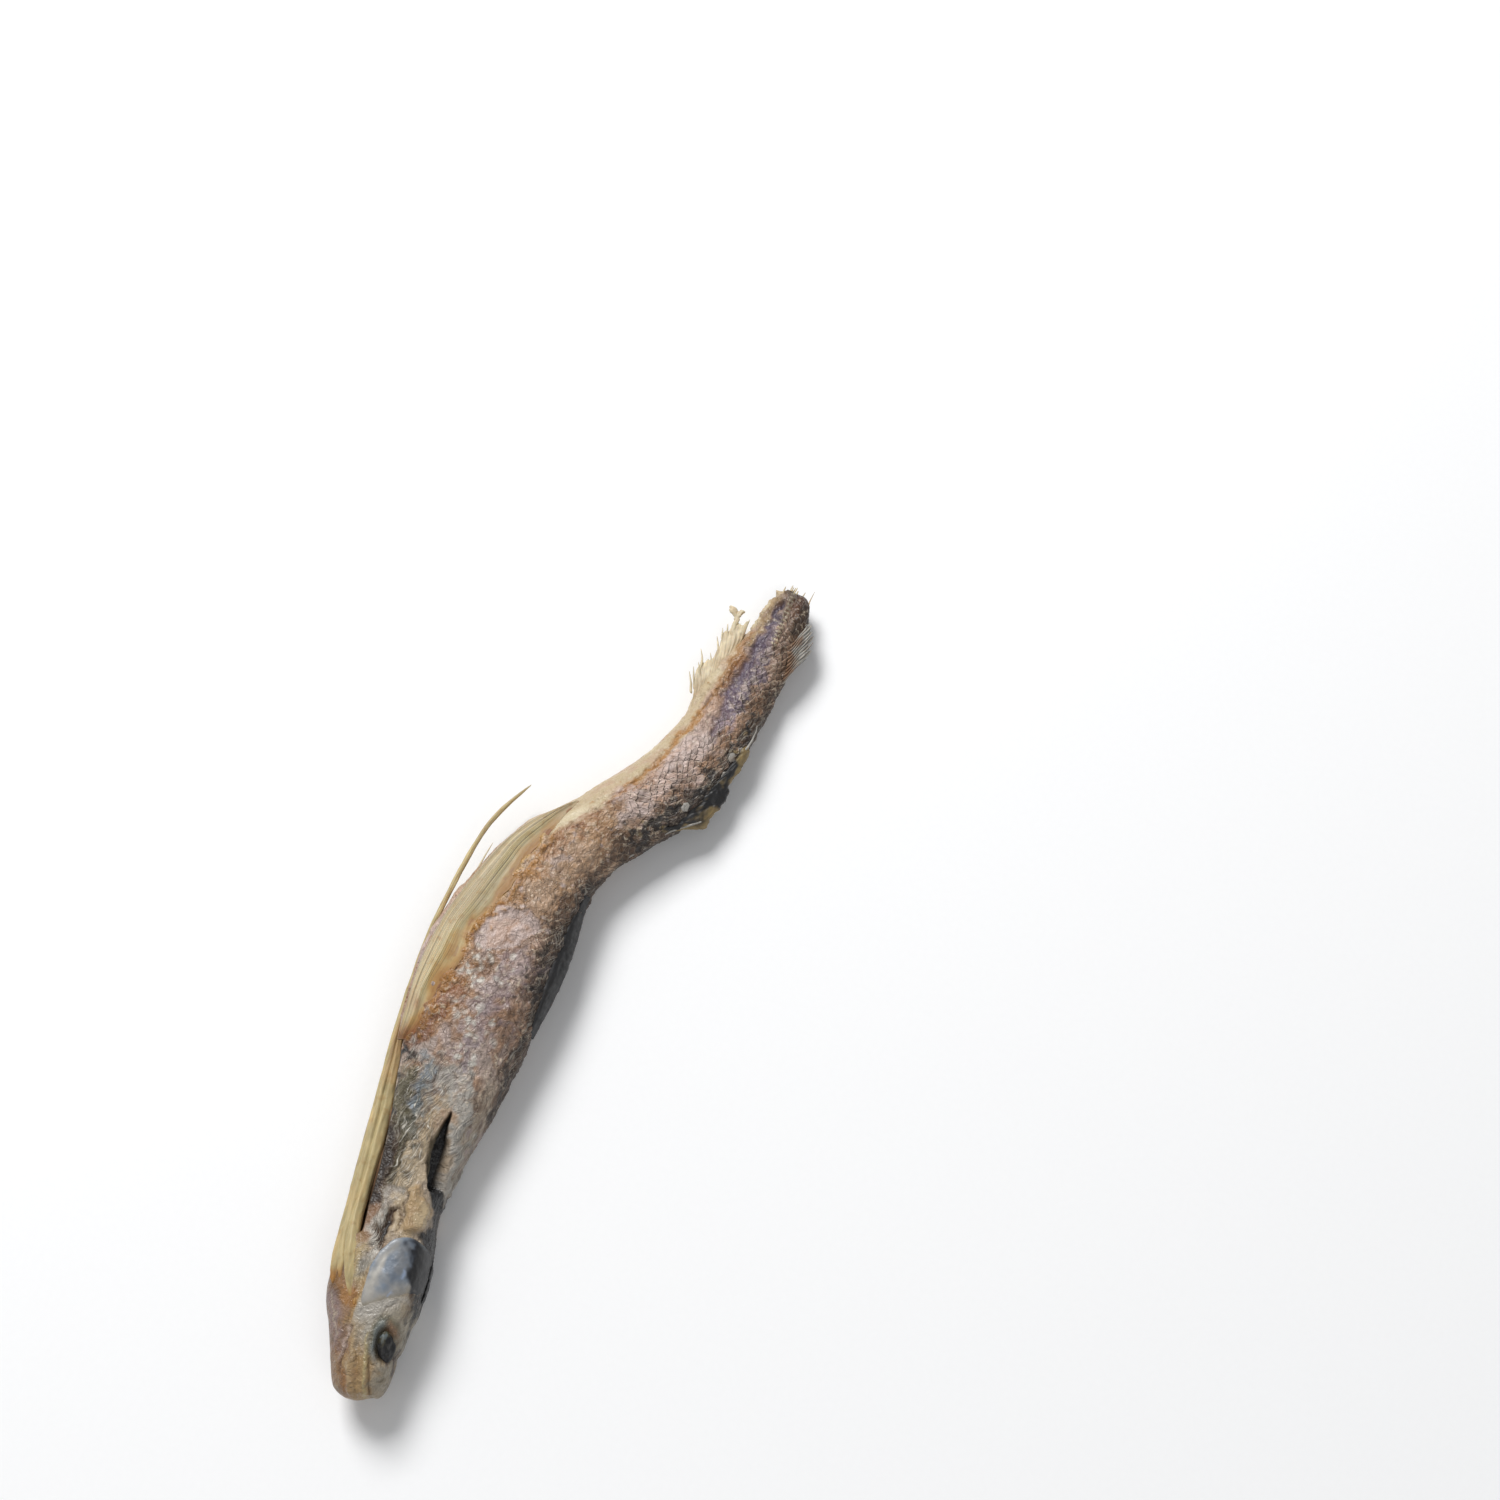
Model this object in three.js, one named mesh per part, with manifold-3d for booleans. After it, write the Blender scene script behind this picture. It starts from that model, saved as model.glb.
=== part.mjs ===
// A dried barb: one small whole river fish, gutted along the belly and dried hard in an S bend.
// Millimetres, +Z up. It lies on its left flank with the right flank up: head towards -Y,
// tail stump towards +Y, back towards +X and belly towards -X. The origin is on the table,
// under the middle of the fish.
import * as THREE from "three";
import { mergeVertices } from "three/addons/utils/BufferGeometryUtils.js";
import Module from "manifold-3d";

const wasm = await Module();
wasm.setup();

// The centre line from snout to tail stump: station along it, x, y and height above the table
const SPINE = [
  [0, 8.3, -47.3, 3.4],
  [9.5, 6.0, -38.1, 3.5],
  [18.4, 3.5, -29.6, 3.3],
  [28.4, 1.1, -19.9, 3.3],
  [39.7, -1.4, -8.9, 3.4],
  [48.6, -2.6, -0.1, 3.4],
  [55.6, -1.9, 6.9, 3.2],
  [63.6, 0.7, 14.4, 2.9],
  [71.2, 3.8, 21.4, 2.6],
  [77.9, 5.6, 27.9, 2.3],
  [84.9, 5.9, 34.9, 2.2],
  [90.9, 5.9, 40.9, 2.3],
  [95.9, 5.6, 45.9, 2.4],
];
// The girth: station, reach to the back, reach to the belly, rise above and drop below the line
const GIRTH = [
  [0, 1.3, 1.6, 1.5, 1.5],
  [1.2, 2.1, 2.3, 2.1, 2.1],
  [3, 2.6, 3.1, 2.6, 2.7],
  [6, 3.0, 4.6, 3.0, 3.1],
  [8.5, 3.2, 5.7, 3.3, 3.4],
  [12, 3.3, 6.0, 3.5, 3.6],
  [15, 3.1, 6.2, 3.4, 3.5],
  [18, 2.75, 6.35, 3.1, 3.4],
  [21, 3.1, 6.5, 3.0, 3.4],
  [25, 4.0, 6.65, 3.2, 3.4],
  [30, 5.25, 6.8, 3.5, 3.4],
  [36, 6.3, 7.0, 3.8, 3.5],
  [42, 6.8, 7.3, 3.9, 3.5],
  [46, 6.75, 7.0, 3.9, 3.5],
  [50, 6.35, 6.1, 3.8, 3.5],
  [54, 5.6, 5.7, 3.6, 3.35],
  [57, 4.9, 5.2, 3.4, 3.25],
  [60, 4.7, 4.2, 3.2, 3.15],
  [63, 5.0, 3.6, 3.0, 3.0],
  [69, 5.3, 3.4, 2.6, 2.75],
  [75, 4.5, 3.6, 2.3, 2.35],
  [78, 4.0, 3.9, 2.15, 2.1],
  [81, 3.6, 4.4, 2.0, 1.9],
  [84, 3.4, 4.2, 1.9, 1.75],
  [87, 3.35, 3.6, 1.8, 1.6],
  [90, 3.4, 2.7, 1.65, 1.5],
  [93, 2.7, 2.45, 1.4, 1.3],
  [95.9, 1.75, 1.7, 0.95, 0.95],
];
const LENGTH = 95.9;
const ROUNDNESS = { back: 2.3, belly: 1.9 }; // power of the section's oval: 2 is an ellipse
const RINGS = 84;
const SIDES = 32;
// Long wrinkles that drying leaves: depth as a share of the girth, and two waves, each with its
// pace along the body, its sway, its turns round the body and its share of the depth
const WRINKLE_DEPTH = 0.035;
const WRINKLES = [
  { pace: 2.1, sway: 1.7, swayPace: 0.31, turns: 3, share: 0.45 },
  { pace: 0.83, sway: 0.9, swayPace: 0.19, turns: 5, share: 0.55 },
];

// The cut belly: station and reach of the shown flank's edge, which stands over the hollow
const FLANK_EDGE = [
  [12, 5.6],
  [14, 3.7],
  [18, 3.6],
  [21, 3.65],
  [25, 4.0],
  [30, 4.8],
  [36, 5.7],
  [42, 6.6],
  [48, 6.3],
  [50, 6.1],
];
const GUTTED = { from: 13, to: 49.5, deepest: 1.2 }; // stations, and reach past the centre line
const WALL = { shown: 1.4, far: 1.1 }; // thickness of the flank over and under the hollow
const RIM = { width: 0.9, height: 3.5 }; // the far flank's edge, curled up along the cut
const CLEAR = { beside: 0.6, above: 9, within: 0.2 }; // how far the opening's cut runs past the fish
// The hollow narrows to its ends, by a power of its length, and to its deepest part
const HOLLOW = { ends: 0.06, power: 0.35, deep: 0.35, widening: 4, least: 0.2 };
const HOLLOW_GRID = { across: 6, opening: 4, along: 24 };

// Strands and flaps: station, across (belly is negative), height, width and thickness
const BELLY_STRIP = [
  [8.3, -4.2, 5.3, 2.2, 1.2],
  [12, -4.75, 4.7, 2.9, 1.5],
  [18, -5.2, 3.9, 2.6, 1.5],
  [24, -5.6, 3.5, 2.3, 1.4],
  [29, -6.0, 3.4, 1.8, 1.3],
  [35, -6.6, 3.4, 1.1, 1.1],
  [42, -7.35, 3.4, 0.9, 0.9],
  [50, -7.6, 3.2, 0.7, 0.6],
  [57, -8.4, 3.0, 0.5, 0.5],
  [59.9, -8.1, 3.0, 0.3, 0.3],
];
const DARK_FOLD = [
  [38.5, 6.3, 3.5, 0.8, 1.0],
  [42, 6.9, 3.6, 1.5, 1.1],
  [48, 6.8, 3.8, 1.5, 1.1],
  [53.5, 5.7, 4.0, 0.7, 0.8],
];
const BACK_RIDGE = [
  [59.5, 4.5, 3.2, 0.6, 1.0],
  [64, 5.2, 3.2, 1.0, 1.1],
  [68.5, 5.3, 2.8, 0.6, 0.9],
];
const DORSAL_STUMP = [
  [72.6, 4.7, 2.5, 0.8, 1.2],
  [75, 4.8, 2.6, 1.7, 2.1],
  [78, 4.1, 2.6, 1.5, 1.9],
  [80.6, 3.5, 2.4, 0.6, 1.0],
];
const TAIL_FRINGE = [
  [85.6, 3.4, 2.2, 0.6, 0.6],
  [89, 3.7, 2.3, 1.1, 0.6],
  [92.5, 3.2, 2.4, 1.2, 0.6],
  [95.2, 2.3, 2.4, 0.4, 0.4],
];
// The worn anal fin and the torn skin at the stump: root and tip of each fibre, as above
const FRAYED = [
  [[82.0, -4.0, 2.2, 0.9, 0.5], [85.6, -6.3, 2.3, 0.3, 0.3]],
  [[83.4, -3.9, 2.2, 0.9, 0.5], [86.4, -5.6, 2.3, 0.3, 0.3]],
  [[85.0, -3.6, 2.2, 0.9, 0.5], [87.8, -4.9, 2.4, 0.3, 0.3]],
  [[87.4, -3.0, 2.3, 0.9, 0.6], [89.6, -4.4, 2.3, 0.5, 0.4], [91.4, -5.1, 2.4, 0.9, 0.6]],
  [[94.4, -1.3, 2.4, 0.7, 0.5], [97.0, -2.5, 2.5, 0.3, 0.3]],
  [[94.8, -0.6, 2.4, 0.7, 0.5], [97.3, -1.2, 2.6, 0.3, 0.3]],
  [[94.0, 2.2, 2.4, 0.5, 0.4], [97.6, 1.7, 2.6, 0.25, 0.25]],
];
// The golden belly fold, drawn over the shown flank: station, outer edge and inner edge
const GOLDEN_FOLD = [
  [33.6, -5.3, -4.4],
  [35.8, -5.9, -3.6],
  [39.4, -6.6, -3.4],
  [43.7, -6.7, -2.8],
  [47.4, -6.5, -1.4],
  [52.5, -5.9, -1.0],
  [57.2, -5.1, -0.6],
  [61.2, -3.1, -2.4],
];
const FOLD = { over: 0.25, under: 0.9, overhang: 0.25, ridges: 4, ridge: 0.12, steps: 20 };

// The head: places as station, across; sizes as half lengths along, across and in height
const GILL_COVER = { place: [12.0, 0.3], size: [3.1, 3.2, 0.75], sunk: 0.35, turn: 0 };
const SHOULDER = { place: [18.3, 0.5], size: [3.4, 1.9, 1.1], sunk: 0.55, turn: 0 };
const SOCKET = { place: [5.3, 1.5], size: [1.7, 1.15, 1.0], sunk: 0.1, turn: -0.27 };
const EYE = { place: [5.2, 1.5], size: [1.25, 0.75, 0.6], sunk: 0.75, turn: -0.27 };
const JAW_RIDGE = [
  [0.5, 0.5, 4.6, 0.8, 0.7],
  [2.7, 0.1, 5.75, 0.9, 0.8],
  [4.9, -0.5, 6.25, 0.6, 0.6],
];
// Cuts into the shown flank: station, middle, width; they start over it and narrow downwards
const GASH = { above: 1, narrowed: 0.6 };
const MOUTH = { rows: [[-0.6, 1.4, 0.5], [1.4, 1.2, 0.45], [3.4, 0.75, 0.25]], depth: 0.6 };
const SLIT = {
  rows: [[18.6, 2.5, 0.4], [20.8, 2.1, 1.1], [23, 1.8, 1.7], [25.2, 1.5, 1.2], [28, 1.5, 0.2]],
  depth: 2.0,
};

// How near the sphere's axis a pole's points are, how far along a curve its heading is taken,
// and how close two points are that count as one
const POLE = 1e-3;
const LOOK_AHEAD = 0.02;
const SAME = 1e-4;

// Smooth value of one column of a table at a station, by cubic pieces through its rows
function read(rows, column, station) {
  const last = rows.length - 1;
  const s = THREE.MathUtils.clamp(station, rows[0][0], rows[last][0]);
  const slope = (row) => {
    const before = rows[Math.max(row - 1, 0)];
    const after = rows[Math.min(row + 1, last)];
    return (after[column] - before[column]) / (after[0] - before[0]);
  };
  let i = 0;
  while (i < last - 1 && rows[i + 1][0] <= s) i += 1;
  const gap = rows[i + 1][0] - rows[i][0];
  const t = (s - rows[i][0]) / gap;
  const start = (1 + 2 * t) * (1 - t) ** 2 * rows[i][column] + t * (1 - t) ** 2 * gap * slope(i);
  const end = t * t * (3 - 2 * t) * rows[i + 1][column] + t * t * (t - 1) * gap * slope(i + 1);
  return start + end;
}

// Point at a station, across from belly (-) to back (+), and at a height above the table
function at(station, across, height) {
  const s = THREE.MathUtils.clamp(station, 0, LENGTH);
  const turn = (column) => read(SPINE, column, s + 0.5) - read(SPINE, column, s - 0.5);
  const heading = new THREE.Vector2(turn(1), turn(2)).normalize();
  const beyond = station - s;
  const x = read(SPINE, 1, s) + heading.y * across + heading.x * beyond;
  const y = read(SPINE, 2, s) - heading.x * across + heading.y * beyond;
  return new THREE.Vector3(x, y, Math.max(height, 0));
}

// How far the body reaches on the side of the centre line that a way across is on
function reach(station, across) {
  return read(GIRTH, across > 0 ? 1 : 2, station);
}

// How full the oval section is at a way across: 1 at the centre line, 0 at its edges
function fullness(station, across) {
  const power = across > 0 ? ROUNDNESS.back : ROUNDNESS.belly;
  const share = Math.min(Math.abs(across) / reach(station, across), 1);
  return (1 - share ** power) ** (1 / power);
}

// Height of the shown flank, above, and of the flank that it lies on, below
function roof(station, across) {
  return read(SPINE, 3, station) + read(GIRTH, 3, station) * fullness(station, across);
}
function underside(station, across) {
  return read(SPINE, 3, station) - read(GIRTH, 4, station) * fullness(station, across);
}

// Solid of a three.js geometry, each of whose points is moved to place(x, y, z)
function bent(geometry, place) {
  geometry.deleteAttribute("normal");
  geometry.deleteAttribute("uv");
  const merged = mergeVertices(geometry, SAME);
  const points = merged.attributes.position;
  for (let i = 0; i < points.count; i += 1) {
    const moved = place(points.getX(i), points.getY(i), points.getZ(i));
    points.setXYZ(i, moved.x, moved.y, moved.z);
  }
  const triVerts = new Uint32Array(merged.index.array);
  const made = new wasm.Manifold(
    new wasm.Mesh({ numProp: 3, vertProperties: points.array, triVerts }),
  );
  if (made.volume() > 0) return made;
  triVerts.reverse();
  return new wasm.Manifold(
    new wasm.Mesh({ numProp: 3, vertProperties: points.array, triVerts }),
  );
}

// Rise and fall of the wrinkles, -1 to 1, along the body and round it
function wrinkles(station, round) {
  const wave = ({ pace, sway, swayPace, turns, share }) =>
    share * Math.sin(pace * station + sway * Math.sin(swayPace * station) + turns * round);
  return WRINKLES.reduce((total, one) => total + wave(one), 0);
}

// The whole body, uncut: a sphere's rings spread along the centre line
function body() {
  return bent(new THREE.SphereGeometry(1, SIDES, RINGS), (x, y, z) => {
    const ring = (Math.acos(THREE.MathUtils.clamp(y, -1, 1)) / Math.PI) * RINGS;
    const station = LENGTH * THREE.MathUtils.clamp((ring - 1) / (RINGS - 2), 0, 1);
    const middle = read(SPINE, 3, station);
    const radius = Math.hypot(x, z);
    if (radius < POLE) return at(station, 0, middle);
    const power = x > 0 ? ROUNDNESS.back : ROUNDNESS.belly;
    const oval = (part) => Math.sign(part) * Math.abs(part / radius) ** (2 / power);
    const swell = 1 + WRINKLE_DEPTH * wrinkles(station, Math.atan2(z, x));
    const rise = oval(z) * swell * read(GIRTH, z > 0 ? 3 : 4, station);
    return at(station, oval(x) * swell * reach(station, x), middle + rise);
  });
}

// Block between two surfaces: place gets 0 to 1 across, along and upwards
function block(across, along, place) {
  const box = new THREE.BoxGeometry(1, 1, 1, across, along, 1);
  return bent(box, (x, y, z) => place(x + 0.5, y + 0.5, z + 0.5));
}

// Height of the far flank's inner face, which the hollow lies on
function hollowFloor(station, across) {
  return underside(station, across) + WALL.far;
}

// The gutted hollow under the shown flank, and the long opening along its edge
function hollow() {
  const length = GUTTED.to - GUTTED.from;
  const inside = block(HOLLOW_GRID.across, HOLLOW_GRID.along, (f, g, h) => {
    const station = GUTTED.from + g * length;
    const taper = Math.max(Math.sin(Math.PI * g), HOLLOW.ends) ** HOLLOW.power;
    const narrowing = taper * Math.min(1, HOLLOW.deep + HOLLOW.widening * (1 - f));
    const rim = RIM.width - reach(station, -1);
    const across = rim + f * (GUTTED.deepest * taper - rim);
    const low = hollowFloor(station, across);
    const high = Math.max(roof(station, across) - WALL.shown, low + HOLLOW.least);
    return at(station, across, 0.5 * (low + high + (h > 0.5 ? 1 : -1) * (high - low) * narrowing));
  });
  const opening = block(HOLLOW_GRID.opening, HOLLOW_GRID.along, (f, g, h) => {
    const station = GUTTED.from + g * length;
    const outer = -(reach(station, -1) + CLEAR.beside);
    const inner = -Math.min(read(FLANK_EDGE, 1, station), reach(station, -1) + CLEAR.within);
    const across = outer + f * (inner - outer);
    const onRim = across < RIM.width - reach(station, -1);
    const low = onRim ? RIM.height : Math.min(hollowFloor(station, across), RIM.height);
    return at(station, across, h > 0.5 ? CLEAR.above : low);
  });
  return inside.add(opening);
}

// Strand through rows of station, across, height, width and thickness
function strand(rows, sides, steps) {
  const numbered = rows.map((row, i) => [i, ...row]);
  const spot = (t) => at(...[1, 2, 3].map((column) => read(numbered, column, t)));
  return bent(new THREE.CylinderGeometry(1, 1, 1, sides, steps), (x, y, z) => {
    const t = (y + 0.5) * (rows.length - 1);
    const heading = spot(t + LOOK_AHEAD).sub(spot(t - LOOK_AHEAD)).setZ(0).normalize();
    const side = new THREE.Vector3(heading.y, -heading.x, 0);
    const point = spot(t).addScaledVector(side, 0.5 * x * read(numbered, 4, t));
    point.z += 0.5 * z * read(numbered, 5, t);
    return point;
  });
}

// Lens or ball that follows the shown flank's surface
function boss({ place: [station, across], size, sunk, turn }, sides, rings) {
  return bent(new THREE.SphereGeometry(1, sides, rings), (x, y, z) => {
    const along = station + size[0] * y * Math.cos(turn) + size[1] * x * Math.sin(turn);
    const over = across + size[0] * y * Math.sin(turn) - size[1] * x * Math.cos(turn);
    return at(along, over, roof(along, over) - sunk + size[2] * z);
  });
}

// Narrow cut into the shown flank along rows of station, middle and width
function gash({ rows, depth }, steps) {
  const first = rows[0][0];
  const length = rows[rows.length - 1][0] - first;
  return block(2, steps, (f, g, h) => {
    const station = first + g * length;
    const [width, rise] = h > 0.5 ? [1, GASH.above] : [GASH.narrowed, -depth];
    const across = read(rows, 1, station) + (f - 0.5) * width * read(rows, 2, station);
    return at(station, across, roof(station, across) + rise);
  });
}

// The golden fold with its fine lengthwise ridges
function goldenFold() {
  const first = GOLDEN_FOLD[0][0];
  const length = GOLDEN_FOLD[GOLDEN_FOLD.length - 1][0] - first;
  return block(2 * FOLD.ridges, FOLD.steps, (f, g, h) => {
    const station = first + g * length;
    const outer = read(GOLDEN_FOLD, 1, station);
    const across = outer + f * (read(GOLDEN_FOLD, 2, station) - outer);
    const draped = Math.max(across, FOLD.overhang - reach(station, -1));
    const ridge = FOLD.ridge * Math.cos(2 * Math.PI * FOLD.ridges * f);
    const lift = h > 0.5 ? FOLD.over + ridge : -FOLD.under;
    return at(station, across, roof(station, draped) + lift);
  });
}

const added = [
  goldenFold(),
  strand(BELLY_STRIP, 6, 30),
  strand(DARK_FOLD, 6, 14),
  strand(BACK_RIDGE, 6, 8),
  strand(DORSAL_STUMP, 8, 8),
  strand(TAIL_FRINGE, 6, 8),
  strand(JAW_RIDGE, 6, 6),
  boss(GILL_COVER, 18, 8),
  boss(SHOULDER, 14, 8),
  ...FRAYED.map((rows) => strand(rows, 5, 2 * rows.length)),
];
const cuts = [gash(MOUTH, 6), gash(SLIT, 10), boss(SOCKET, 14, 8)];
let fish = body().subtract(hollow());
for (const piece of added) fish = fish.add(piece);
for (const cut of cuts) fish = fish.subtract(cut);
fish = fish.add(boss(EYE, 12, 8));

const made = fish.getMesh();
const surface = new THREE.BufferGeometry();
surface.setAttribute("position", new THREE.BufferAttribute(made.vertProperties, 3));
surface.setIndex(new THREE.BufferAttribute(made.triVerts, 1));
surface.computeVertexNormals();
const skin = new THREE.MeshStandardMaterial({ color: 0xa1866a, roughness: 0.62, metalness: 0 });
const driedBarb = new THREE.Mesh(surface, skin);
driedBarb.name = "dried_barb";

const group = new THREE.Group();
group.add(driedBarb);
export default group;
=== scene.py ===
"""Looks of the dried barb: one small river fish, gutted and dried hard in an S bend.

Every place on the fish is a station along it from the snout, a way across it from belly (minus)
to back (plus), and a height above the table, all in millimetres, as in the part's own source.
"""

import logging
import math
from dataclasses import dataclass, field
from enum import Enum
from typing import Callable

import bmesh
import bpy
import numpy as np
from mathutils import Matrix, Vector


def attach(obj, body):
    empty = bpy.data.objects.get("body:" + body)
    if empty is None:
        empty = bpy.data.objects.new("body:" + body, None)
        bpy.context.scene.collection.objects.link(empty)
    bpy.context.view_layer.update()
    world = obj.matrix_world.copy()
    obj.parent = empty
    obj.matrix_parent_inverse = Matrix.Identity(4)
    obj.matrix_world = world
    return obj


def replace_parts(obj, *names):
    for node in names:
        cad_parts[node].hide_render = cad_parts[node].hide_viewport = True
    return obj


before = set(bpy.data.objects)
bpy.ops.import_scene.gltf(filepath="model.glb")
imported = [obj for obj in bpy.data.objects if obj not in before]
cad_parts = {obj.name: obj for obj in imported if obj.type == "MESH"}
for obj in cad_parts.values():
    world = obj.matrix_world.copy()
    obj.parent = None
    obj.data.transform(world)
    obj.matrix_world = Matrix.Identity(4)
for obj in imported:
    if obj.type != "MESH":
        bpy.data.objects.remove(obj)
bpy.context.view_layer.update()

Array = np.ndarray
MM = 0.001
SEED = 1414
NODE = "dried_barb"
BODY = "root"
UV_MM = 100.0  # one unit of a UV map is this many millimetres
MERGED_MM, SLIVER_MM = 0.003, 0.001  # points this near are one, and edges this short go
SCALE_PITCH, SCALE_ROW = 0.84, 0.56  # width of a scale, and how far apart their rows are
LOG = logging.getLogger("dried_barb")


class Pigment(Enum):
    """Colours that the dried fish is painted with, as sRGB hex values."""

    CREAM = "#b7a382"
    PALE = "#cabb9c"
    STRAW = "#b3a276"
    GOLD = "#b28a48"
    OCHRE = "#9f6d2e"
    RUST = "#8c5630"
    FLESH = "#b19079"
    PINK = "#bba8a1"
    ROSE = "#9a7152"
    UMBER = "#503a29"
    BARK = "#86664c"
    SOOT = "#1b1a1b"
    ASH = "#a49f97"
    MILK = "#d8d3c8"
    SLATE = "#76848a"
    OLIVE = "#57523b"
    PLUM = "#594a60"
    LILAC = "#8b7c84"
    SILVER = "#7c8692"
    SKY = "#9fb0cc"
    NAVY = "#23262f"
    HORN = "#a4865c"
    KHAKI = "#83704a"
    CHEEK = "#9b917f"


(CREAM, PALE, STRAW, GOLD, OCHRE, RUST, FLESH, PINK, ROSE, UMBER, BARK, SOOT, ASH, MILK, SLATE,
 OLIVE, PLUM, LILAC, SILVER, SKY, NAVY, HORN, KHAKI, CHEEK) = Pigment


class Side(Enum):
    """The flank that shows, or the one that the fish lies on."""

    SHOWN = 1
    FAR = -1


def linear(code: str) -> Array:
    """Linear colour of an sRGB hex value."""
    parts = np.array([int(code[i : i + 2], 16) / 255 for i in (1, 3, 5)])
    return np.where(parts <= 0.04045, parts / 12.92, ((parts + 0.055) / 1.055) ** 2.4)


def ramp(low: float, high: float, value: Array) -> Array:
    """Smooth rise from 0 at low to 1 at high."""
    share = np.clip((value - low) / (high - low), 0, 1)
    return share * share * (3 - 2 * share)


def mix(first: Array, second: Array, share: Array) -> Array:
    """Blend of two colours, or rows of colours, by a share for each row."""
    return first + (second - first) * share[:, None]


def stain(tint: Array, pigment: Pigment, share: Array) -> Array:
    """Colours blended towards a pigment by a share for each row."""
    return mix(tint, linear(pigment.value), share)


def stained(tint: Array, *layers: tuple) -> Array:
    """Colours after layers of a pigment and its share for each row."""
    for pigment, share in layers:
        tint = stain(tint, pigment, share)
    return tint


def rounded(share: Array, power: float) -> Array:
    """Rise from 0 at both ends of a share to 1 between, as a rounded edge has it."""
    return np.sqrt(np.clip(1 - np.abs(2 * share - 1) ** power, 0, 1))


def folded(fraction: Array, turn: float) -> tuple[Array, Array]:
    """Which points of a section there and back are on its way there, and their share across."""
    there = fraction <= turn
    return there, np.where(there, fraction / turn, (1 - fraction) / (1 - turn))


def show(piece: bpy.types.Object) -> None:
    """Puts an object into the scene."""
    bpy.context.scene.collection.objects.link(piece)


@dataclass(frozen=True)
class Table:
    """Rows of numbers by station, read smoothly by cubic pieces through the rows."""

    rows: tuple

    def read(self, column: int, station: Array) -> Array:
        """One column's values at the given stations."""
        rows = np.array(self.rows, float)
        knots, values = rows[:, 0], rows[:, column]
        slopes = np.empty_like(values)
        slopes[1:-1] = (values[2:] - values[:-2]) / (knots[2:] - knots[:-2])
        slopes[0] = (values[1] - values[0]) / (knots[1] - knots[0])
        slopes[-1] = (values[-1] - values[-2]) / (knots[-1] - knots[-2])
        at = np.clip(np.asarray(station, float), knots[0], knots[-1])
        i = np.clip(np.searchsorted(knots, at, side="right") - 1, 0, len(knots) - 2)
        gap = knots[i + 1] - knots[i]
        t = (at - knots[i]) / gap
        start = (1 + 2 * t) * (1 - t) ** 2 * values[i] + t * (1 - t) ** 2 * gap * slopes[i]
        end = t * t * (3 - 2 * t) * values[i + 1] + t * t * (t - 1) * gap * slopes[i + 1]
        return start + end


def read_along(rows: tuple, along: Array) -> list[Array]:
    """Every column of a list of rows, read smoothly at a fraction of the way along it."""
    numbered = Table(tuple((i, *row) for i, row in enumerate(rows)))
    at = along * (len(rows) - 1)
    return [numbered.read(column, at) for column in range(1, len(rows[0]) + 1)]


class Grain:
    """Seeded smooth noise in three directions, from 0 to 1."""

    CELLS = 48

    def __init__(self, seed: int) -> None:
        """Draws the values at the corners of the noise's cells."""
        shape = (self.CELLS,) * 3
        self.values = np.random.default_rng(seed).random(shape)

    def at(self, x: Array, y: Array, z: Array) -> Array:
        """Noise at places counted in cells."""
        whole, share = [], []
        for part in (x, y, z):
            floor = np.floor(part)
            t = part - floor
            whole.append(floor.astype(int))
            share.append(t * t * (3 - 2 * t))
        total = np.zeros_like(share[0])
        for corner in range(8):
            weight = np.ones_like(total)
            index = []
            for axis in range(3):
                step = (corner >> axis) & 1
                weight = weight * (share[axis] if step else 1 - share[axis])
                index.append((whole[axis] + step) % self.CELLS)
            total += weight * self.values[tuple(index)]
        return total

    def layered(self, x: Array, y: Array, z: Array, layers: int = 3) -> Array:
        """Sum of noises, each half as strong and twice as fine as the one before."""
        total, weight = np.zeros_like(x), 0.0
        for layer in range(layers):
            scale, strength = 2.0**layer, 0.5**layer
            shift = 7.3 * layer
            total += strength * self.at(x * scale + shift, y * scale + shift, z * scale)
            weight += strength
        return total / weight

    def over(self, spots: "Spots", along: float, round_it: float, layers: int = 3) -> Array:
        """Layered noise less a half, its grains so long along the fish and so wide round it."""
        return self.layered(
            spots.station / along, spots.across / round_it, spots.height / round_it, layers
        ) - 0.5


COARSE, FINE, STREAK = Grain(SEED), Grain(SEED + 1), Grain(SEED + 2)


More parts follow.
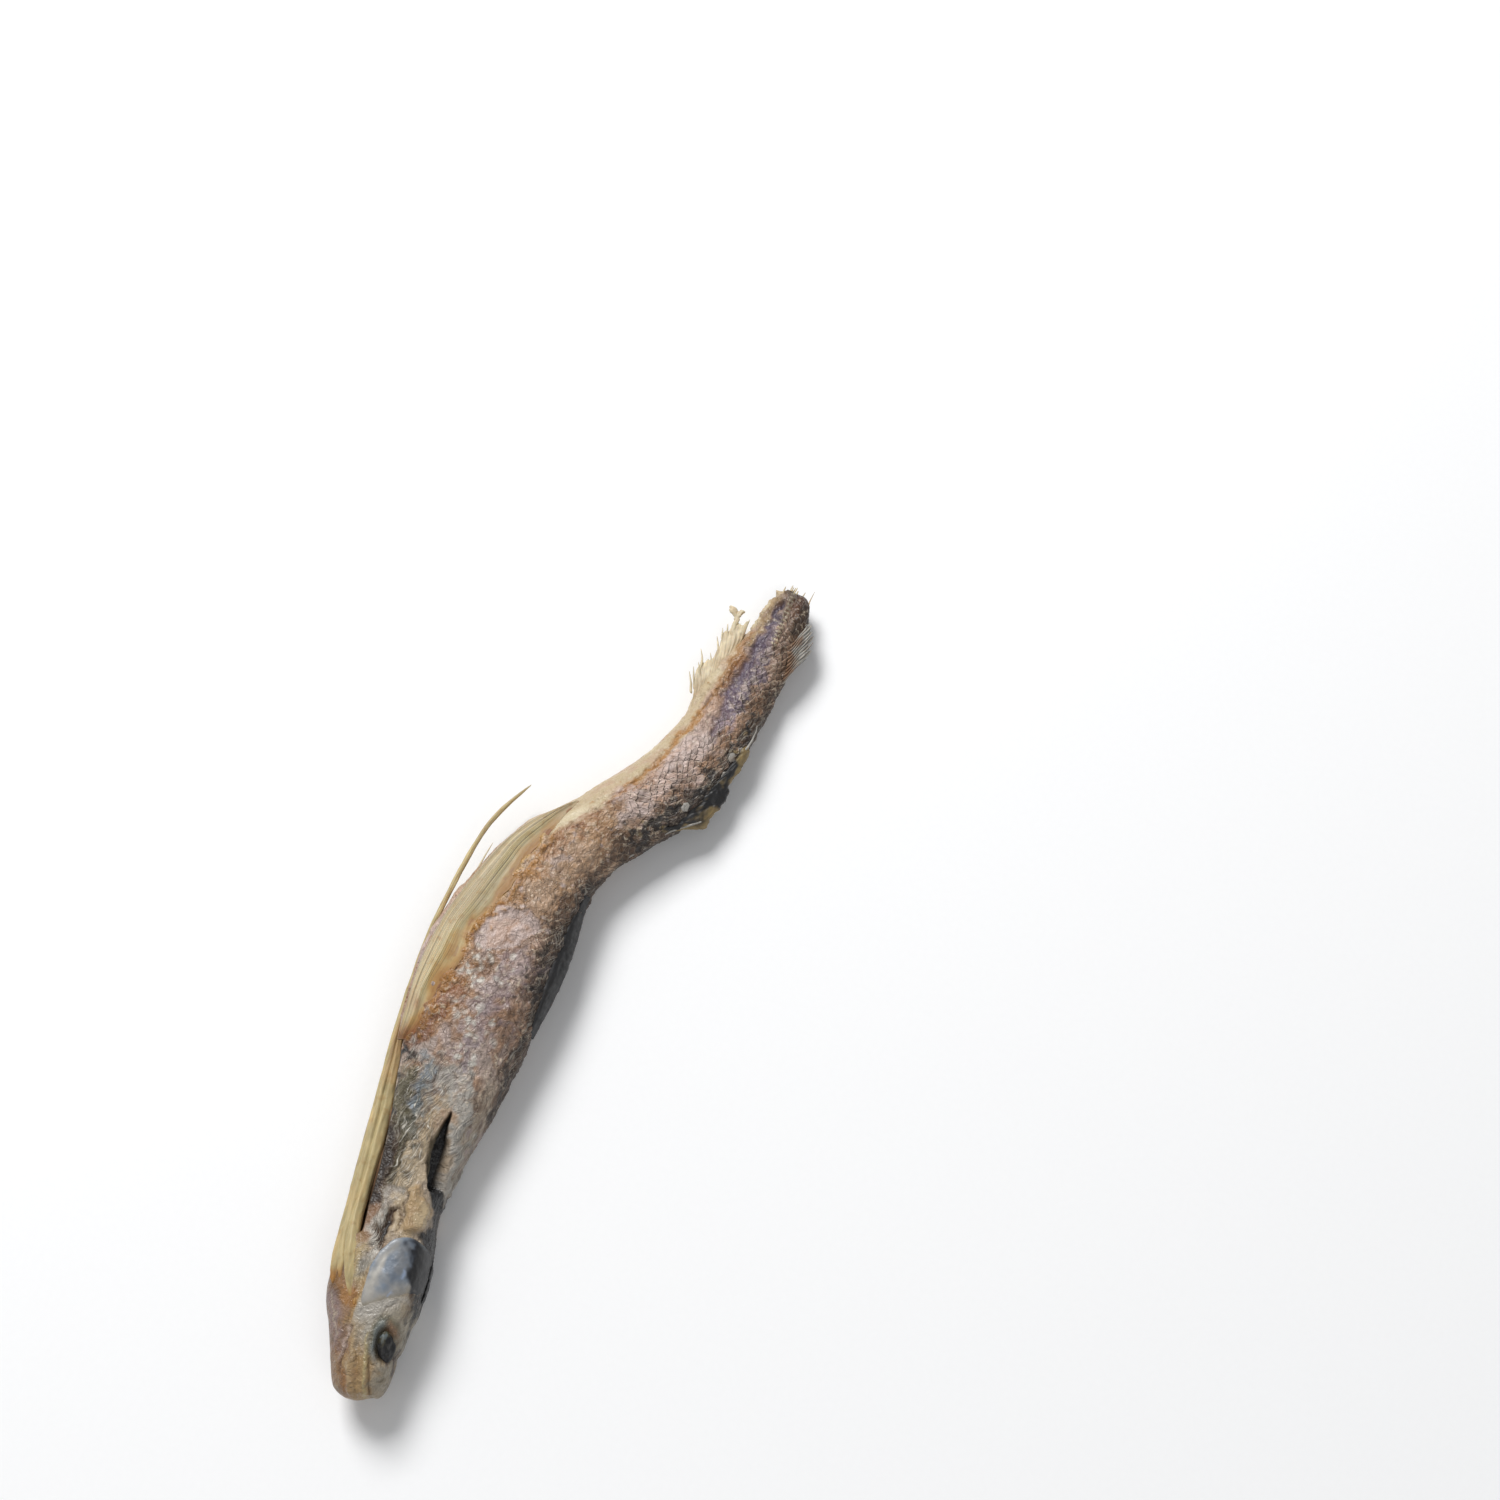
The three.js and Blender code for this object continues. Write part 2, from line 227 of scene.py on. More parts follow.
@dataclass(frozen=True)
class Course:
    """The bent, tapering run of the fish's body, with the numbers of the part's source."""

    spine: Table
    girth: Table
    length: float = 95.9
    back_power: float = 2.3
    belly_power: float = 1.9

    def place(self, rows: Array) -> Array:
        """Metres in the part's frame of rows of station, across and height."""
        station, across, height = rows[:, 0], rows[:, 1], rows[:, 2]
        inside = np.clip(station, 0, self.length)
        ahead = [
            self.spine.read(column, inside + 0.5) - self.spine.read(column, inside - 0.5)
            for column in (1, 2)
        ]
        size = np.hypot(*ahead)
        hx, hy = ahead[0] / size, ahead[1] / size
        beyond = station - inside
        x = self.spine.read(1, inside) + hy * across + hx * beyond
        y = self.spine.read(2, inside) - hx * across + hy * beyond
        return np.stack([x, y, np.maximum(height, 0)], axis=1) * MM

    def middle(self, station: Array) -> Array:
        """Height of the centre line."""
        return self.spine.read(3, station)

    def reach(self, station: Array, across: Array) -> Array:
        """How far the body reaches on the side that a way across is on."""
        return np.where(across > 0, self.girth.read(1, station), self.girth.read(2, station))

    def fullness(self, station: Array, across: Array) -> Array:
        """Share of the section's full height at a way across."""
        power = np.where(across > 0, self.back_power, self.belly_power)
        share = np.clip(np.abs(across) / self.reach(station, across), 0, 1)
        return (1 - share**power) ** (1 / power)

    def roof(self, station: Array, across: Array) -> Array:
        """Height of the flank that shows."""
        return self.middle(station) + self.girth.read(3, station) * self.fullness(station, across)

    def underside(self, station: Array, across: Array) -> Array:
        """Height of the flank that the fish lies on."""
        drop = self.girth.read(4, station) * self.fullness(station, across)
        return self.middle(station) - drop

    def flank(self, side: Side, station: Array, across: Array, lift: Array) -> Array:
        """Height of a place that is lifted off one flank, away from the fish's middle."""
        if side is Side.FAR:
            return self.underside(station, across) - lift
        return self.roof(station, across) + lift


COURSE = Course(
    spine=Table((
        (0, 8.3, -47.3, 3.4), (9.5, 6, -38.1, 3.5), (18.4, 3.5, -29.6, 3.3), (28.4, 1.1, -19.9, 3.3),
        (39.7, -1.4, -8.9, 3.4), (48.6, -2.6, -0.1, 3.4), (55.6, -1.9, 6.9, 3.2), (63.6, 0.7, 14.4, 2.9),
        (71.2, 3.8, 21.4, 2.6), (77.9, 5.6, 27.9, 2.3), (84.9, 5.9, 34.9, 2.2), (90.9, 5.9, 40.9, 2.3),
        (95.9, 5.6, 45.9, 2.4),
    )),
    girth=Table((
        (0, 1.3, 1.6, 1.5, 1.5), (1.2, 2.1, 2.3, 2.1, 2.1), (3, 2.6, 3.1, 2.6, 2.7), (6, 3, 4.6, 3, 3.1),
        (8.5, 3.2, 5.7, 3.3, 3.4), (12, 3.3, 6, 3.5, 3.6), (15, 3.1, 6.2, 3.4, 3.5),
        (18, 2.75, 6.35, 3.1, 3.4), (21, 3.1, 6.5, 3, 3.4), (25, 4, 6.65, 3.2, 3.4),
        (30, 5.25, 6.8, 3.5, 3.4), (36, 6.3, 7, 3.8, 3.5), (42, 6.8, 7.3, 3.9, 3.5),
        (46, 6.75, 7, 3.9, 3.5), (50, 6.35, 6.1, 3.8, 3.5), (54, 5.6, 5.7, 3.6, 3.35),
        (57, 4.9, 5.2, 3.4, 3.25), (60, 4.7, 4.2, 3.2, 3.15), (63, 5, 3.6, 3, 3),
        (69, 5.3, 3.4, 2.6, 2.75), (75, 4.5, 3.6, 2.3, 2.35), (78, 4, 3.9, 2.15, 2.1),
        (81, 3.6, 4.4, 2, 1.9), (84, 3.4, 4.2, 1.9, 1.75), (87, 3.35, 3.6, 1.8, 1.6),
        (90, 3.4, 2.7, 1.65, 1.5), (93, 2.7, 2.45, 1.4, 1.3), (95.9, 1.75, 1.7, 0.95, 0.95),
    )),
)


class Spots:
    """Points of a surface in the fish's own terms, and the share of each on the shown flank."""

    def __init__(self, rows: Array, upward: Array | None = None) -> None:
        """Keeps the places, and works out the sway that makes the edges of strokes ragged.

        Args:
            rows: rows of station, across and height.
            upward: 1 on the flank that shows, 0 on the far one, between at the edges.
        """
        self.rows = rows
        self.station, self.across, self.height = rows.T
        if upward is None:
            middle = COURSE.middle(np.maximum(self.station, 0))
            upward = ramp(-0.25, 0.35, self.height - middle)
        self.upward = upward
        turns = [FINE.layered(*(rows.T * 1.1 + 11 * turn), 3) - 0.5 for turn in (1, 2)]
        self.sway = np.stack(turns, axis=1)

    def ground(self, pigment: Pigment) -> Array:
        """One pigment's linear colour for each spot."""
        return np.tile(linear(pigment.value), (len(self.rows), 1))

    def share(self) -> Array:
        """Way across as a share of how far the body reaches."""
        return self.across / COURSE.reach(np.maximum(self.station, 0), self.across)


@dataclass(frozen=True)
class Stroke:
    """One soft-edged stroke of colour or relief along rows of station, across and half width.

    Its height is how far it raises the skin in millimetres; strength is how much it colours it.
    """

    rows: tuple
    pigment: Pigment | None = None
    strength: float = 1.0
    soft: float = 0.5
    ragged: float = 0.5
    height: float = 0.0
    gloss: float = 0.0

    def cover(self, spots: Spots) -> Array:
        """Share, 0 to 1, by which the stroke covers each spot."""
        point = spots.rows[:, :2] + 4 * self.ragged * spots.sway
        rows = np.array(self.rows, float)
        nearest = np.full(len(point), np.inf)
        for a, b in zip(rows, rows[1:] if len(rows) > 1 else rows):
            span = b[:2] - a[:2]
            size = max(float(span @ span), 1e-9)
            t = np.clip((point - a[:2]) @ span / size, 0, 1)
            gap = np.linalg.norm(point - a[:2] - t[:, None] * span, axis=1)
            nearest = np.minimum(nearest, gap - (a[2] + t * (b[2] - a[2])))
        return 1 - ramp(-self.soft / 2, self.soft / 2, nearest)


def painted(spots: Spots, tint: Array, strokes: tuple) -> tuple[Array, Array]:
    """Colour and gloss after a list of strokes.

    Args:
        spots: the points.
        tint: the linear colours underneath.
        strokes: the strokes in painting order.

    Returns:
        The colours, and the gloss that the strokes leave.
    """
    gloss = np.zeros(len(tint))
    for stroke in strokes:
        if stroke.pigment is None:
            continue
        cover = stroke.strength * stroke.cover(spots)
        tint = stain(tint, stroke.pigment, cover)
        gloss = gloss * (1 - cover) + stroke.gloss * cover
    return tint, gloss


def raised(spots: Spots, strokes: tuple) -> Array:
    """Millimetres by which a list of strokes raises or sinks the skin."""
    total = np.zeros(len(spots.rows))
    for stroke in strokes:
        if stroke.height:
            total += stroke.height * stroke.cover(spots)
    return total


def shaded_hollows_lit_ridges(tint: Array, relief: Array, strength: float) -> Array:
    """Colours darker and browner in the hollows of a relief in millimetres, as painted shade,
    and paler on its ridges, as painted highlight.
    """
    hollow, ridge = ramp(0.02, 0.22, -relief), ramp(0.02, 0.22, relief)
    tint = mix(tint, tint * linear("#a08a78"), strength * hollow)
    return mix(tint, np.minimum(tint * 1.45 + 0.02, 1), 0.6 * strength * ridge)


def freckles(seed: int, count: int, area: tuple, size: tuple, pigment: Pigment) -> tuple:
    """Small seeded spots strewn over an area of first and last station, first and last across."""
    draw = np.random.default_rng(SEED + seed)
    strokes = []
    for _ in range(count):
        spot = (draw.uniform(*area[:2]), draw.uniform(*area[2:]), draw.uniform(*size))
        strokes.append(Stroke((spot,), pigment, draw.uniform(0.45, 0.9), 0.22, 0.25))
    return tuple(strokes)


def warped(girth: Array, station: Array) -> tuple[Array, Array]:
    """Girth place and station, swayed as the rows of scales and the fibres are."""
    turns = [
        COARSE.layered(girth / 3.1 + shift, station / 3.9, 0 * girth + shift, 2) - 0.5
        for shift in (0, 9)
    ]
    uneven = [
        FINE.layered(girth / 1.2 + shift, station / 1.2, 0 * girth + shift, 2) - 0.5
        for shift in (4, 14)
    ]
    across = girth + 1.5 * turns[0] + 0.9 * uneven[0]
    return across, station + 1.3 * turns[1] + 0.75 * uneven[1]


def shingles(girth: Array, station: Array) -> Array:
    """Height share of scales in staggered rows, each rear edge rounded over the next scale."""
    along = station / SCALE_ROW
    row = np.floor(along)
    rest = along - row
    over = girth / SCALE_PITCH + 0.5 * (row % 2)
    side = over - np.floor(over) - 0.5
    ahead = 1 - 4 * side**2 - rest
    return (rest + (ahead > 0)) / 2


@dataclass
class Surface:
    """A grid laid on the fish: its mesh, and each point's place in the fish's own terms."""

    name: str
    columns: int
    rows: int
    sway: float = 1.0
    mesh: bpy.types.Mesh = field(init=False)

    def lay(self, shape: Callable[[Array, Array], Array]) -> "Surface":
        """Makes the grid, moves its points to their places, merges doubles, turns it outwards.

        Args:
            shape: gives rows of station, across, height, girth place and inner share for the
                grid's two fractions, across and along.

        Returns:
            This surface.
        """
        grid = bmesh.new()
        bmesh.ops.create_grid(grid, x_segments=self.columns, y_segments=self.rows, size=0.5)
        self.mesh = bpy.data.meshes.new(self.name)
        grid.to_mesh(self.mesh)
        fractions = self.points() + 0.5
        rows = shape(fractions[:, 0], fractions[:, 1])
        self.keep("spot", rows[:, :3])
        self.keep("round", np.column_stack([rows[:, 3:5], np.zeros(len(rows))]))
        self.map_girth(rows[:, 3], rows[:, 0])
        self.mesh.vertices.foreach_set("co", COURSE.place(rows[:, :3]).astype(np.float32).ravel())
        grid.clear()
        grid.from_mesh(self.mesh)
        bmesh.ops.remove_doubles(grid, verts=grid.verts, dist=MERGED_MM * MM)
        bmesh.ops.dissolve_degenerate(grid, dist=SLIVER_MM * MM, edges=grid.edges)
        bmesh.ops.recalc_face_normals(grid, faces=grid.faces)
        grid.to_mesh(self.mesh)
        grid.free()
        self.mesh.shade_smooth()
        return self

    def map_girth(self, girth: Array, station: Array) -> None:
        """Writes the UV map: girth place and station, more or less swayed, a real size."""
        corners = np.zeros(len(self.mesh.loops), np.int32)
        self.mesh.loops.foreach_get("vertex_index", corners)
        plain = np.stack([girth, station], axis=1)
        swayed = np.stack(warped(girth, station), axis=1)
        pair = (plain + self.sway * (swayed - plain))[corners] / UV_MM
        layer = self.mesh.uv_layers.new(name="UVMap")
        layer.data.foreach_set("uv", pair.astype(np.float32).ravel())

    def points(self) -> Array:
        """The mesh's points in metres."""
        flat = np.zeros(len(self.mesh.vertices) * 3, np.float32)
        self.mesh.vertices.foreach_get("co", flat)
        return flat.reshape(-1, 3).astype(float)

    def keep(self, name: str, values: Array) -> None:
        """Stores three numbers for each point under a name."""
        layer = self.mesh.attributes.new(name, "FLOAT_VECTOR", "POINT")
        layer.data.foreach_set("vector", values.astype(np.float32).ravel())

    def kept(self, name: str) -> Array:
        """The three numbers for each point stored under a name."""
        flat = np.zeros(len(self.mesh.vertices) * 3, np.float32)
        self.mesh.attributes[name].data.foreach_get("vector", flat)
        return flat.reshape(-1, 3).astype(float)

    def spots(self) -> Spots:
        """The points in the fish's own terms."""
        return Spots(self.kept("spot"))

    def lift(self, heights: Array) -> None:
        """Moves each point along its normal by a height in millimetres, never under the table."""
        normals = np.zeros(len(self.mesh.vertices) * 3, np.float32)
        self.mesh.vertex_normals.foreach_get("vector", normals)
        moved = self.points() + normals.reshape(-1, 3) * (heights * MM)[:, None]
        moved[:, 2] = np.maximum(moved[:, 2], 0)
        self.mesh.vertices.foreach_set("co", moved.astype(np.float32).ravel())
        self.mesh.update()

    def colour(self, tint: Array, marks: tuple) -> None:
        """Stores each point's linear colour, and its gloss, speckle, scale and hair shares."""
        each = [np.broadcast_to(mark, len(tint)) for mark in marks]
        for name, values in (("Tint", np.column_stack([tint, each[0] * 0 + 1])),
                             ("Marks", np.column_stack(each))):
            layer = self.mesh.attributes.new(name, "FLOAT_COLOR", "POINT")
            layer.data.foreach_set("color", np.clip(values, 0, 1).astype(np.float32).ravel())

    def finish(self, material: bpy.types.Material) -> bpy.types.Object:
        """Makes the surface a piece of the fish, without the notes that only the making needs."""
        for name in ("spot", "round"):
            self.mesh.attributes.remove(self.mesh.attributes[name])
        self.mesh.materials.append(material)
        piece = bpy.data.objects.new(self.name, self.mesh)
        show(piece)
        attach(piece, BODY)
        LOG.info("%s: %d points", self.name, len(self.mesh.vertices))
        return piece


TIMES, PLUS, LESS, TIMES_PLUS, FLOOR, FRACTION = (
    {"operation": word}
    for word in ("MULTIPLY", "ADD", "SUBTRACT", "MULTIPLY_ADD", "FLOOR", "FRACT")
)
BLEND = {"data_type": "RGBA", "blend_type": "MIX"}
SHADE = {"data_type": "RGBA", "blend_type": "MULTIPLY"}
ON_PIECE = {"vector_type": "TEXTURE"}


class Nodes:
    """A material's node tree, with one helper that adds a node."""

    def __init__(self, name: str) -> None:
        """Starts a material that has its output and a Principled shader."""
        self.material = bpy.data.materials.new(name)
        self.material.use_nodes = True
        self.tree = self.material.node_tree
        self.shader = self.tree.nodes["Principled BSDF"]

    def add(
        self, kind: str, settings: dict | None = None, out: int | str = 0, **links: object
    ) -> bpy.types.NodeSocket:
        """Adds a node with its settings and links.

        Args:
            kind: the node's type, without its ShaderNode start.
            settings: properties of the node by name.
            out: which of its sockets is wanted.
            links: sockets by name, with _ for a space, or i and a number for an index; a value
                is another node's socket or a constant.

        Returns:
            The wanted socket.
        """
        node = self.tree.nodes.new("ShaderNode" + kind)
        for name, value in (settings or {}).items():
            setattr(node, name, value)
        self.join(node, **links)
        return node.outputs[out]

    def join(self, node: bpy.types.Node, **links: object) -> None:
        """Links or sets a node's sockets by name."""
        for name, value in links.items():
            key = int(name[1:]) if name[1:].isdigit() else name.replace("_", " ")
            socket = node.inputs[key]
            if isinstance(value, bpy.types.NodeSocket):
                self.tree.links.new(value, socket)
            else:
                socket.default_value = value


def rgba(code: str) -> tuple:
    """Linear colour with full alpha, for a socket."""
    return (*linear(code), 1.0)


@dataclass(frozen=True)
class DriedSkin:
    """Fish skin dried to leather: matt, creased and pitted, with clumps of salt-pale grains that also
    stand in for painted glints, rows of scales where they remain, their rear rims painted light as
    highlight and the crevices behind them painted dark as shade, torn fibres where it is frayed,
    and a thin varnish of oil."""

    name: str = "dried_fish_skin"
    grain_mm: float = 0.5
    pit_mm: float = 0.72
    crease_mm: tuple = (1.1, 2.2)
    fibre_mm: tuple = (0.2, 1.5)
    torn_mm: tuple = (0.15, 2.6)
    torn_slant: float = 16.0
    clump_mm: float = 2.6
    worn_mm: float = 2.2
    relief_mm: float = 0.2
    roughness: float = 0.46
    coat: float = 0.22
    salt_and_glint: str = "#dccbb2"
    pit: str = "#3b281a"
    crease: str = "#44301f"
    rim: str = "#d3bfa6"
    crevice_shade: str = "#33241a"
    gap: str = "#2e2821"
    hair: str = "#cbc5b8"

    def scales(self, n: Nodes, uv: bpy.types.NodeSocket) -> tuple:
        """Sockets of the scales' pattern, the same rows as the mesh's own relief.

        Args:
            n: the material's nodes.
            uv: socket of the surface's UV map.

        Returns:
            Rear rims, where highlight is painted, crevices behind them, where shade is painted, rise,
            and each scale's own tone.
        """
        girth = n.add("SeparateXYZ", out=0, Vector=uv)
        station = girth.node.outputs[1]
        along = n.add("Math", TIMES, i0=station, i1=UV_MM / SCALE_ROW)
        row = n.add("Math", FLOOR, i0=along)
        rest = n.add("Math", FRACTION, i0=along)
        odd = n.add("Math", {"operation": "MODULO"}, i0=row, i1=2)
        half = n.add("Math", TIMES, i0=odd, i1=0.5)
        over = n.add("Math", TIMES_PLUS, i0=girth, i1=UV_MM / SCALE_PITCH, i2=half)
        side = n.add("Math", FRACTION, i0=over)
        side = n.add("Math", LESS, i0=side, i1=0.5)
        arc = n.add("Math", TIMES, i0=side, i1=side)
        arc = n.add("Math", TIMES_PLUS, i0=arc, i1=-4, i2=1)
        ahead = n.add("Math", LESS, i0=arc, i1=rest)
        on_top = n.add("Math", {"operation": "GREATER_THAN"}, i0=ahead, i1=0)
        rise = n.add("Math", PLUS, i0=rest, i1=on_top)
        rim = n.add("MapRange", i0=ahead, i1=0.4, i2=0.04)
        rim = n.add("Math", TIMES, i0=rim, i1=on_top)
        behind = n.add("MapRange", i0=ahead, i1=-0.5, i2=-0.08)
        below = n.add("Math", LESS, i0=1, i1=on_top)
        behind = n.add("Math", TIMES, i0=behind, i1=below)
        column = n.add("Math", TIMES_PLUS, i0=below, i1=0.5, i2=over)
        column = n.add("Math", FLOOR, i0=column)
        shift = n.add("Math", TIMES, i0=odd, i1=below)
        column = n.add("Math", LESS, i0=column, i1=shift)
        number = n.add("Math", LESS, i0=row, i1=on_top)
        which = n.add("CombineXYZ", X=column, Y=number)
        tone = n.add("TexWhiteNoise", {"noise_dimensions": "2D"}, Vector=which)
        return rim, behind, rise, tone

    def material(self) -> bpy.types.Material:
        """The material's nodes."""
        n = Nodes(self.name)
        place = n.add("TexCoord", out="Object")
        uv = n.add("TexCoord", out="UV")
        tint = n.add("Attribute", {"attribute_name": "Tint"}, "Color")
        marks = n.add("Attribute", {"attribute_name": "Marks"}, "Color")
        hairy = marks.node.outputs["Alpha"]
        gloss = n.add("SeparateColor", Color=marks)
        speckle, scaly = gloss.node.outputs[1], gloss.node.outputs[2]
        # Salt-pale grains in clumps, partly painted glints, dark pits, and creases that wander along the
        # fish
        grain = n.add("TexNoise", Vector=place, Scale=1 / (self.grain_mm * MM), Detail=2.5, Roughness=0.6)
        clump = n.add("TexNoise", Vector=place, Scale=1 / (self.clump_mm * MM), Detail=2)
        clump = n.add("MapRange", i0=clump, i1=0.4, i2=0.62)
        pale_grains_and_glints = n.add("MapRange", i0=grain, i1=0.55, i2=0.62, i4=0.8)
        pale_grains_and_glints = n.add("Math", TIMES, i0=pale_grains_and_glints, i1=clump)
        pale_grains_and_glints = n.add("Math", TIMES, i0=pale_grains_and_glints, i1=speckle)
        pits = n.add("TexNoise", Vector=place, Scale=1 / (self.pit_mm * MM), Detail=2,
                     Roughness=0.6, Distortion=0.6)
        dark = n.add("MapRange", i0=pits, i1=0.4, i2=0.32, i4=0.75)
        dark = n.add("Math", TIMES, i0=dark, i1=speckle)
        size = [part / UV_MM for part in self.crease_mm]
        drawn = n.add("Mapping", ON_PIECE, Vector=uv, Scale=(*size, 1))
        wander = n.add("TexNoise", Vector=drawn, Scale=1, Detail=2.5, Distortion=0.5)
        crease = n.add("Math", LESS, i0=wander, i1=0.5)
        crease = n.add("Math", {"operation": "ABSOLUTE"}, i0=crease)
        crease = n.add("MapRange", i0=crease, i1=0.022, i2=0.006, i4=0.4)
        crease = n.add("Math", TIMES, i0=crease, i1=speckle)
        # Fine fibres along the skin, and torn ones aslant where it is frayed
        size = [part / UV_MM for part in self.fibre_mm]
        drawn = n.add("Mapping", ON_PIECE, Vector=uv, Scale=(*size, 1))
        fibres = n.add("TexNoise", Vector=drawn, Scale=1, Detail=3)
        size = [part / UV_MM for part in self.torn_mm]
        turn = (0, 0, math.radians(self.torn_slant))
        drawn = n.add("Mapping", ON_PIECE, Vector=uv, Rotation=turn, Scale=(*size, 1))
        torn = n.add("TexNoise", Vector=drawn, Scale=1, Detail=2.5, Distortion=0.25)
        hair = n.add("MapRange", i0=torn, i1=0.55, i2=0.62, i4=0.9)
        turn = (0, 0, math.radians(-self.torn_slant))
        crossed = n.add("Mapping", ON_PIECE, Vector=uv, Rotation=turn,
                        Scale=(1.6 * size[0], 0.8 * size[1], 1.0))
        crossed = n.add("TexNoise", Vector=crossed, Scale=1, Detail=2, Distortion=0.2)
        crossed = n.add("MapRange", i0=crossed, i1=0.6, i2=0.67, i4=0.9)
        hair = n.add("Math", {"operation": "MAXIMUM"}, i0=hair, i1=crossed)
        hair = n.add("Math", TIMES, i0=hair, i1=hairy)
        gap = n.add("MapRange", i0=torn, i1=0.45, i2=0.36, i4=0.65)
        gap = n.add("Math", TIMES, i0=gap, i1=hairy)
        # Scales, each a little its own colour, worn away in patches
        rim, behind, rise, tone = self.scales(n, uv)
        worn = n.add("TexNoise", Vector=place, Scale=1 / (self.worn_mm * MM), Detail=2)
        worn = n.add("MapRange", i0=worn, i1=0.32, i2=0.48, i3=0.25)
        scaly = n.add("Math", TIMES, i0=scaly, i1=worn)
        # Each scale's rear rim is painted lighter as its highlight, and the crevice behind it darker as
        # painted shade
        rim = n.add("Math", TIMES, i0=rim, i1=scaly)
        rim = n.add("Math", TIMES, i0=rim, i1=0.2)
        behind = n.add("Math", TIMES, i0=behind, i1=scaly)
        tone = n.add("MapRange", i0=tone, i3=0.7, i4=1.35)
        tone = n.add("CombineColor", Red=tone, Green=tone, Blue=tone)
        shade = n.add("MapRange", i0=fibres, i1=0.3, i2=0.7, i3=0.9, i4=1.1)
        shade = n.add("CombineColor", Red=shade, Green=shade, Blue=shade)
        drawn = n.add("Math", TIMES_PLUS, i0=speckle, i1=0.8, i2=0.15)
        colour = n.add("Mix", SHADE, 2, i0=drawn, i6=tint, i7=shade)
        colour = n.add("Mix", SHADE, 2, i0=scaly, i6=colour, i7=tone)
        for share, code in ((pale_grains_and_glints, self.salt_and_glint), (dark, self.pit), (crease, self.crease),
                            (rim, self.rim), (behind, self.crevice_shade), (gap, self.gap),
                            (hair, self.hair)):
            colour = n.add("Mix", BLEND, 2, i0=share, i6=colour, i7=rgba(code))
        rough = n.add("MapRange", i0=grain, i1=0.35, i2=0.7, i3=self.roughness + 0.12,
                      i4=self.roughness - 0.12)
        rough = n.add("Math", TIMES_PLUS, i0=gloss, i1=-0.3, i2=rough)
        # Relief in shares of relief_mm: grains, less creases and crevices, and the scales' rise
        relief = n.add("Math", TIMES_PLUS, i0=pits, i1=1.2, i2=grain)
        relief = n.add("Math", LESS, i0=relief, i1=crease)
        relief = n.add("Math", TIMES_PLUS, i0=fibres, i1=0.25, i2=relief)
        rise = n.add("Math", TIMES, i0=rise, i1=scaly)
        relief = n.add("Math", TIMES_PLUS, i0=rise, i1=0.7, i2=relief)
        relief = n.add("Math", PLUS, i0=relief, i1=hair)
        relief = n.add("Math", LESS, i0=relief, i1=gap)
        bump = n.add("Bump", Height=relief, Strength=1, Distance=self.relief_mm * MM)
        n.join(n.shader, Base_Color=colour, Roughness=rough, Normal=bump, Coat_Normal=bump,
               IOR=1.45, Coat_Weight=self.coat, Coat_Roughness=0.3)
        return n.material


@dataclass(frozen=True)
class Membrane:
    """Dried fin and belly membrane: horny and faintly see-through, with fine rays along it that
    catch the light as thin bright lines."""

    name: str
    ray_mm: float = 0.26  # a little coarser than the real rays, so that they show
    length_mm: float = 7.0
    contrast: float = 0.55
    roughness: float = 0.56
    coat: float = 0.08
    relief_mm: float = 0.07
    blot_mm: float = 0.9
    blot: str = "#d2aa78"

    def material(self) -> bpy.types.Material:
        """The material's nodes."""
        n = Nodes(self.name)
        place = n.add("TexCoord", out="Object")
        uv = n.add("TexCoord", out="UV")
        tint = n.add("Attribute", {"attribute_name": "Tint"}, "Color")
        size = (self.ray_mm / UV_MM, self.length_mm / UV_MM, 1.0)
        drawn = n.add("Mapping", ON_PIECE, Vector=uv, Scale=size)
        rays = n.add("TexNoise", Vector=drawn, Scale=1, Detail=3, Roughness=0.6)
        blots = n.add("TexNoise", Vector=place, Scale=1 / (self.blot_mm * MM), Detail=3)
        light = n.add("MapRange", i0=rays, i1=0.3, i2=0.7, i3=0.7, i4=1.24)
        warm = n.add("MapRange", i0=blots, i1=0.56, i2=0.72, i4=0.4)
        grey = n.add("CombineColor", Red=light, Green=light, Blue=light)
        colour = n.add("Mix", SHADE, 2, i0=self.contrast, i6=tint, i7=grey)
        colour = n.add("Mix", SHADE, 2, i0=warm, i6=colour, i7=rgba(self.blot))
        rough = n.add("MapRange", i0=rays, i1=0.3, i2=0.7, i3=self.roughness + 0.12,
                      i4=self.roughness - 0.08)
        relief = n.add("Math", TIMES_PLUS, i0=blots, i1=0.7, i2=rays)
        bump = n.add("Bump", Height=relief, Strength=0.8, Distance=self.relief_mm * MM)
        n.join(n.shader, Base_Color=colour, Roughness=rough, Normal=bump, Coat_Normal=bump,
               IOR=1.5, Coat_Weight=self.coat, Coat_Roughness=0.25, Subsurface_Weight=0.12,
               Subsurface_Radius=(0.0012, 0.0007, 0.0004), Subsurface_Scale=1)
        return n.material


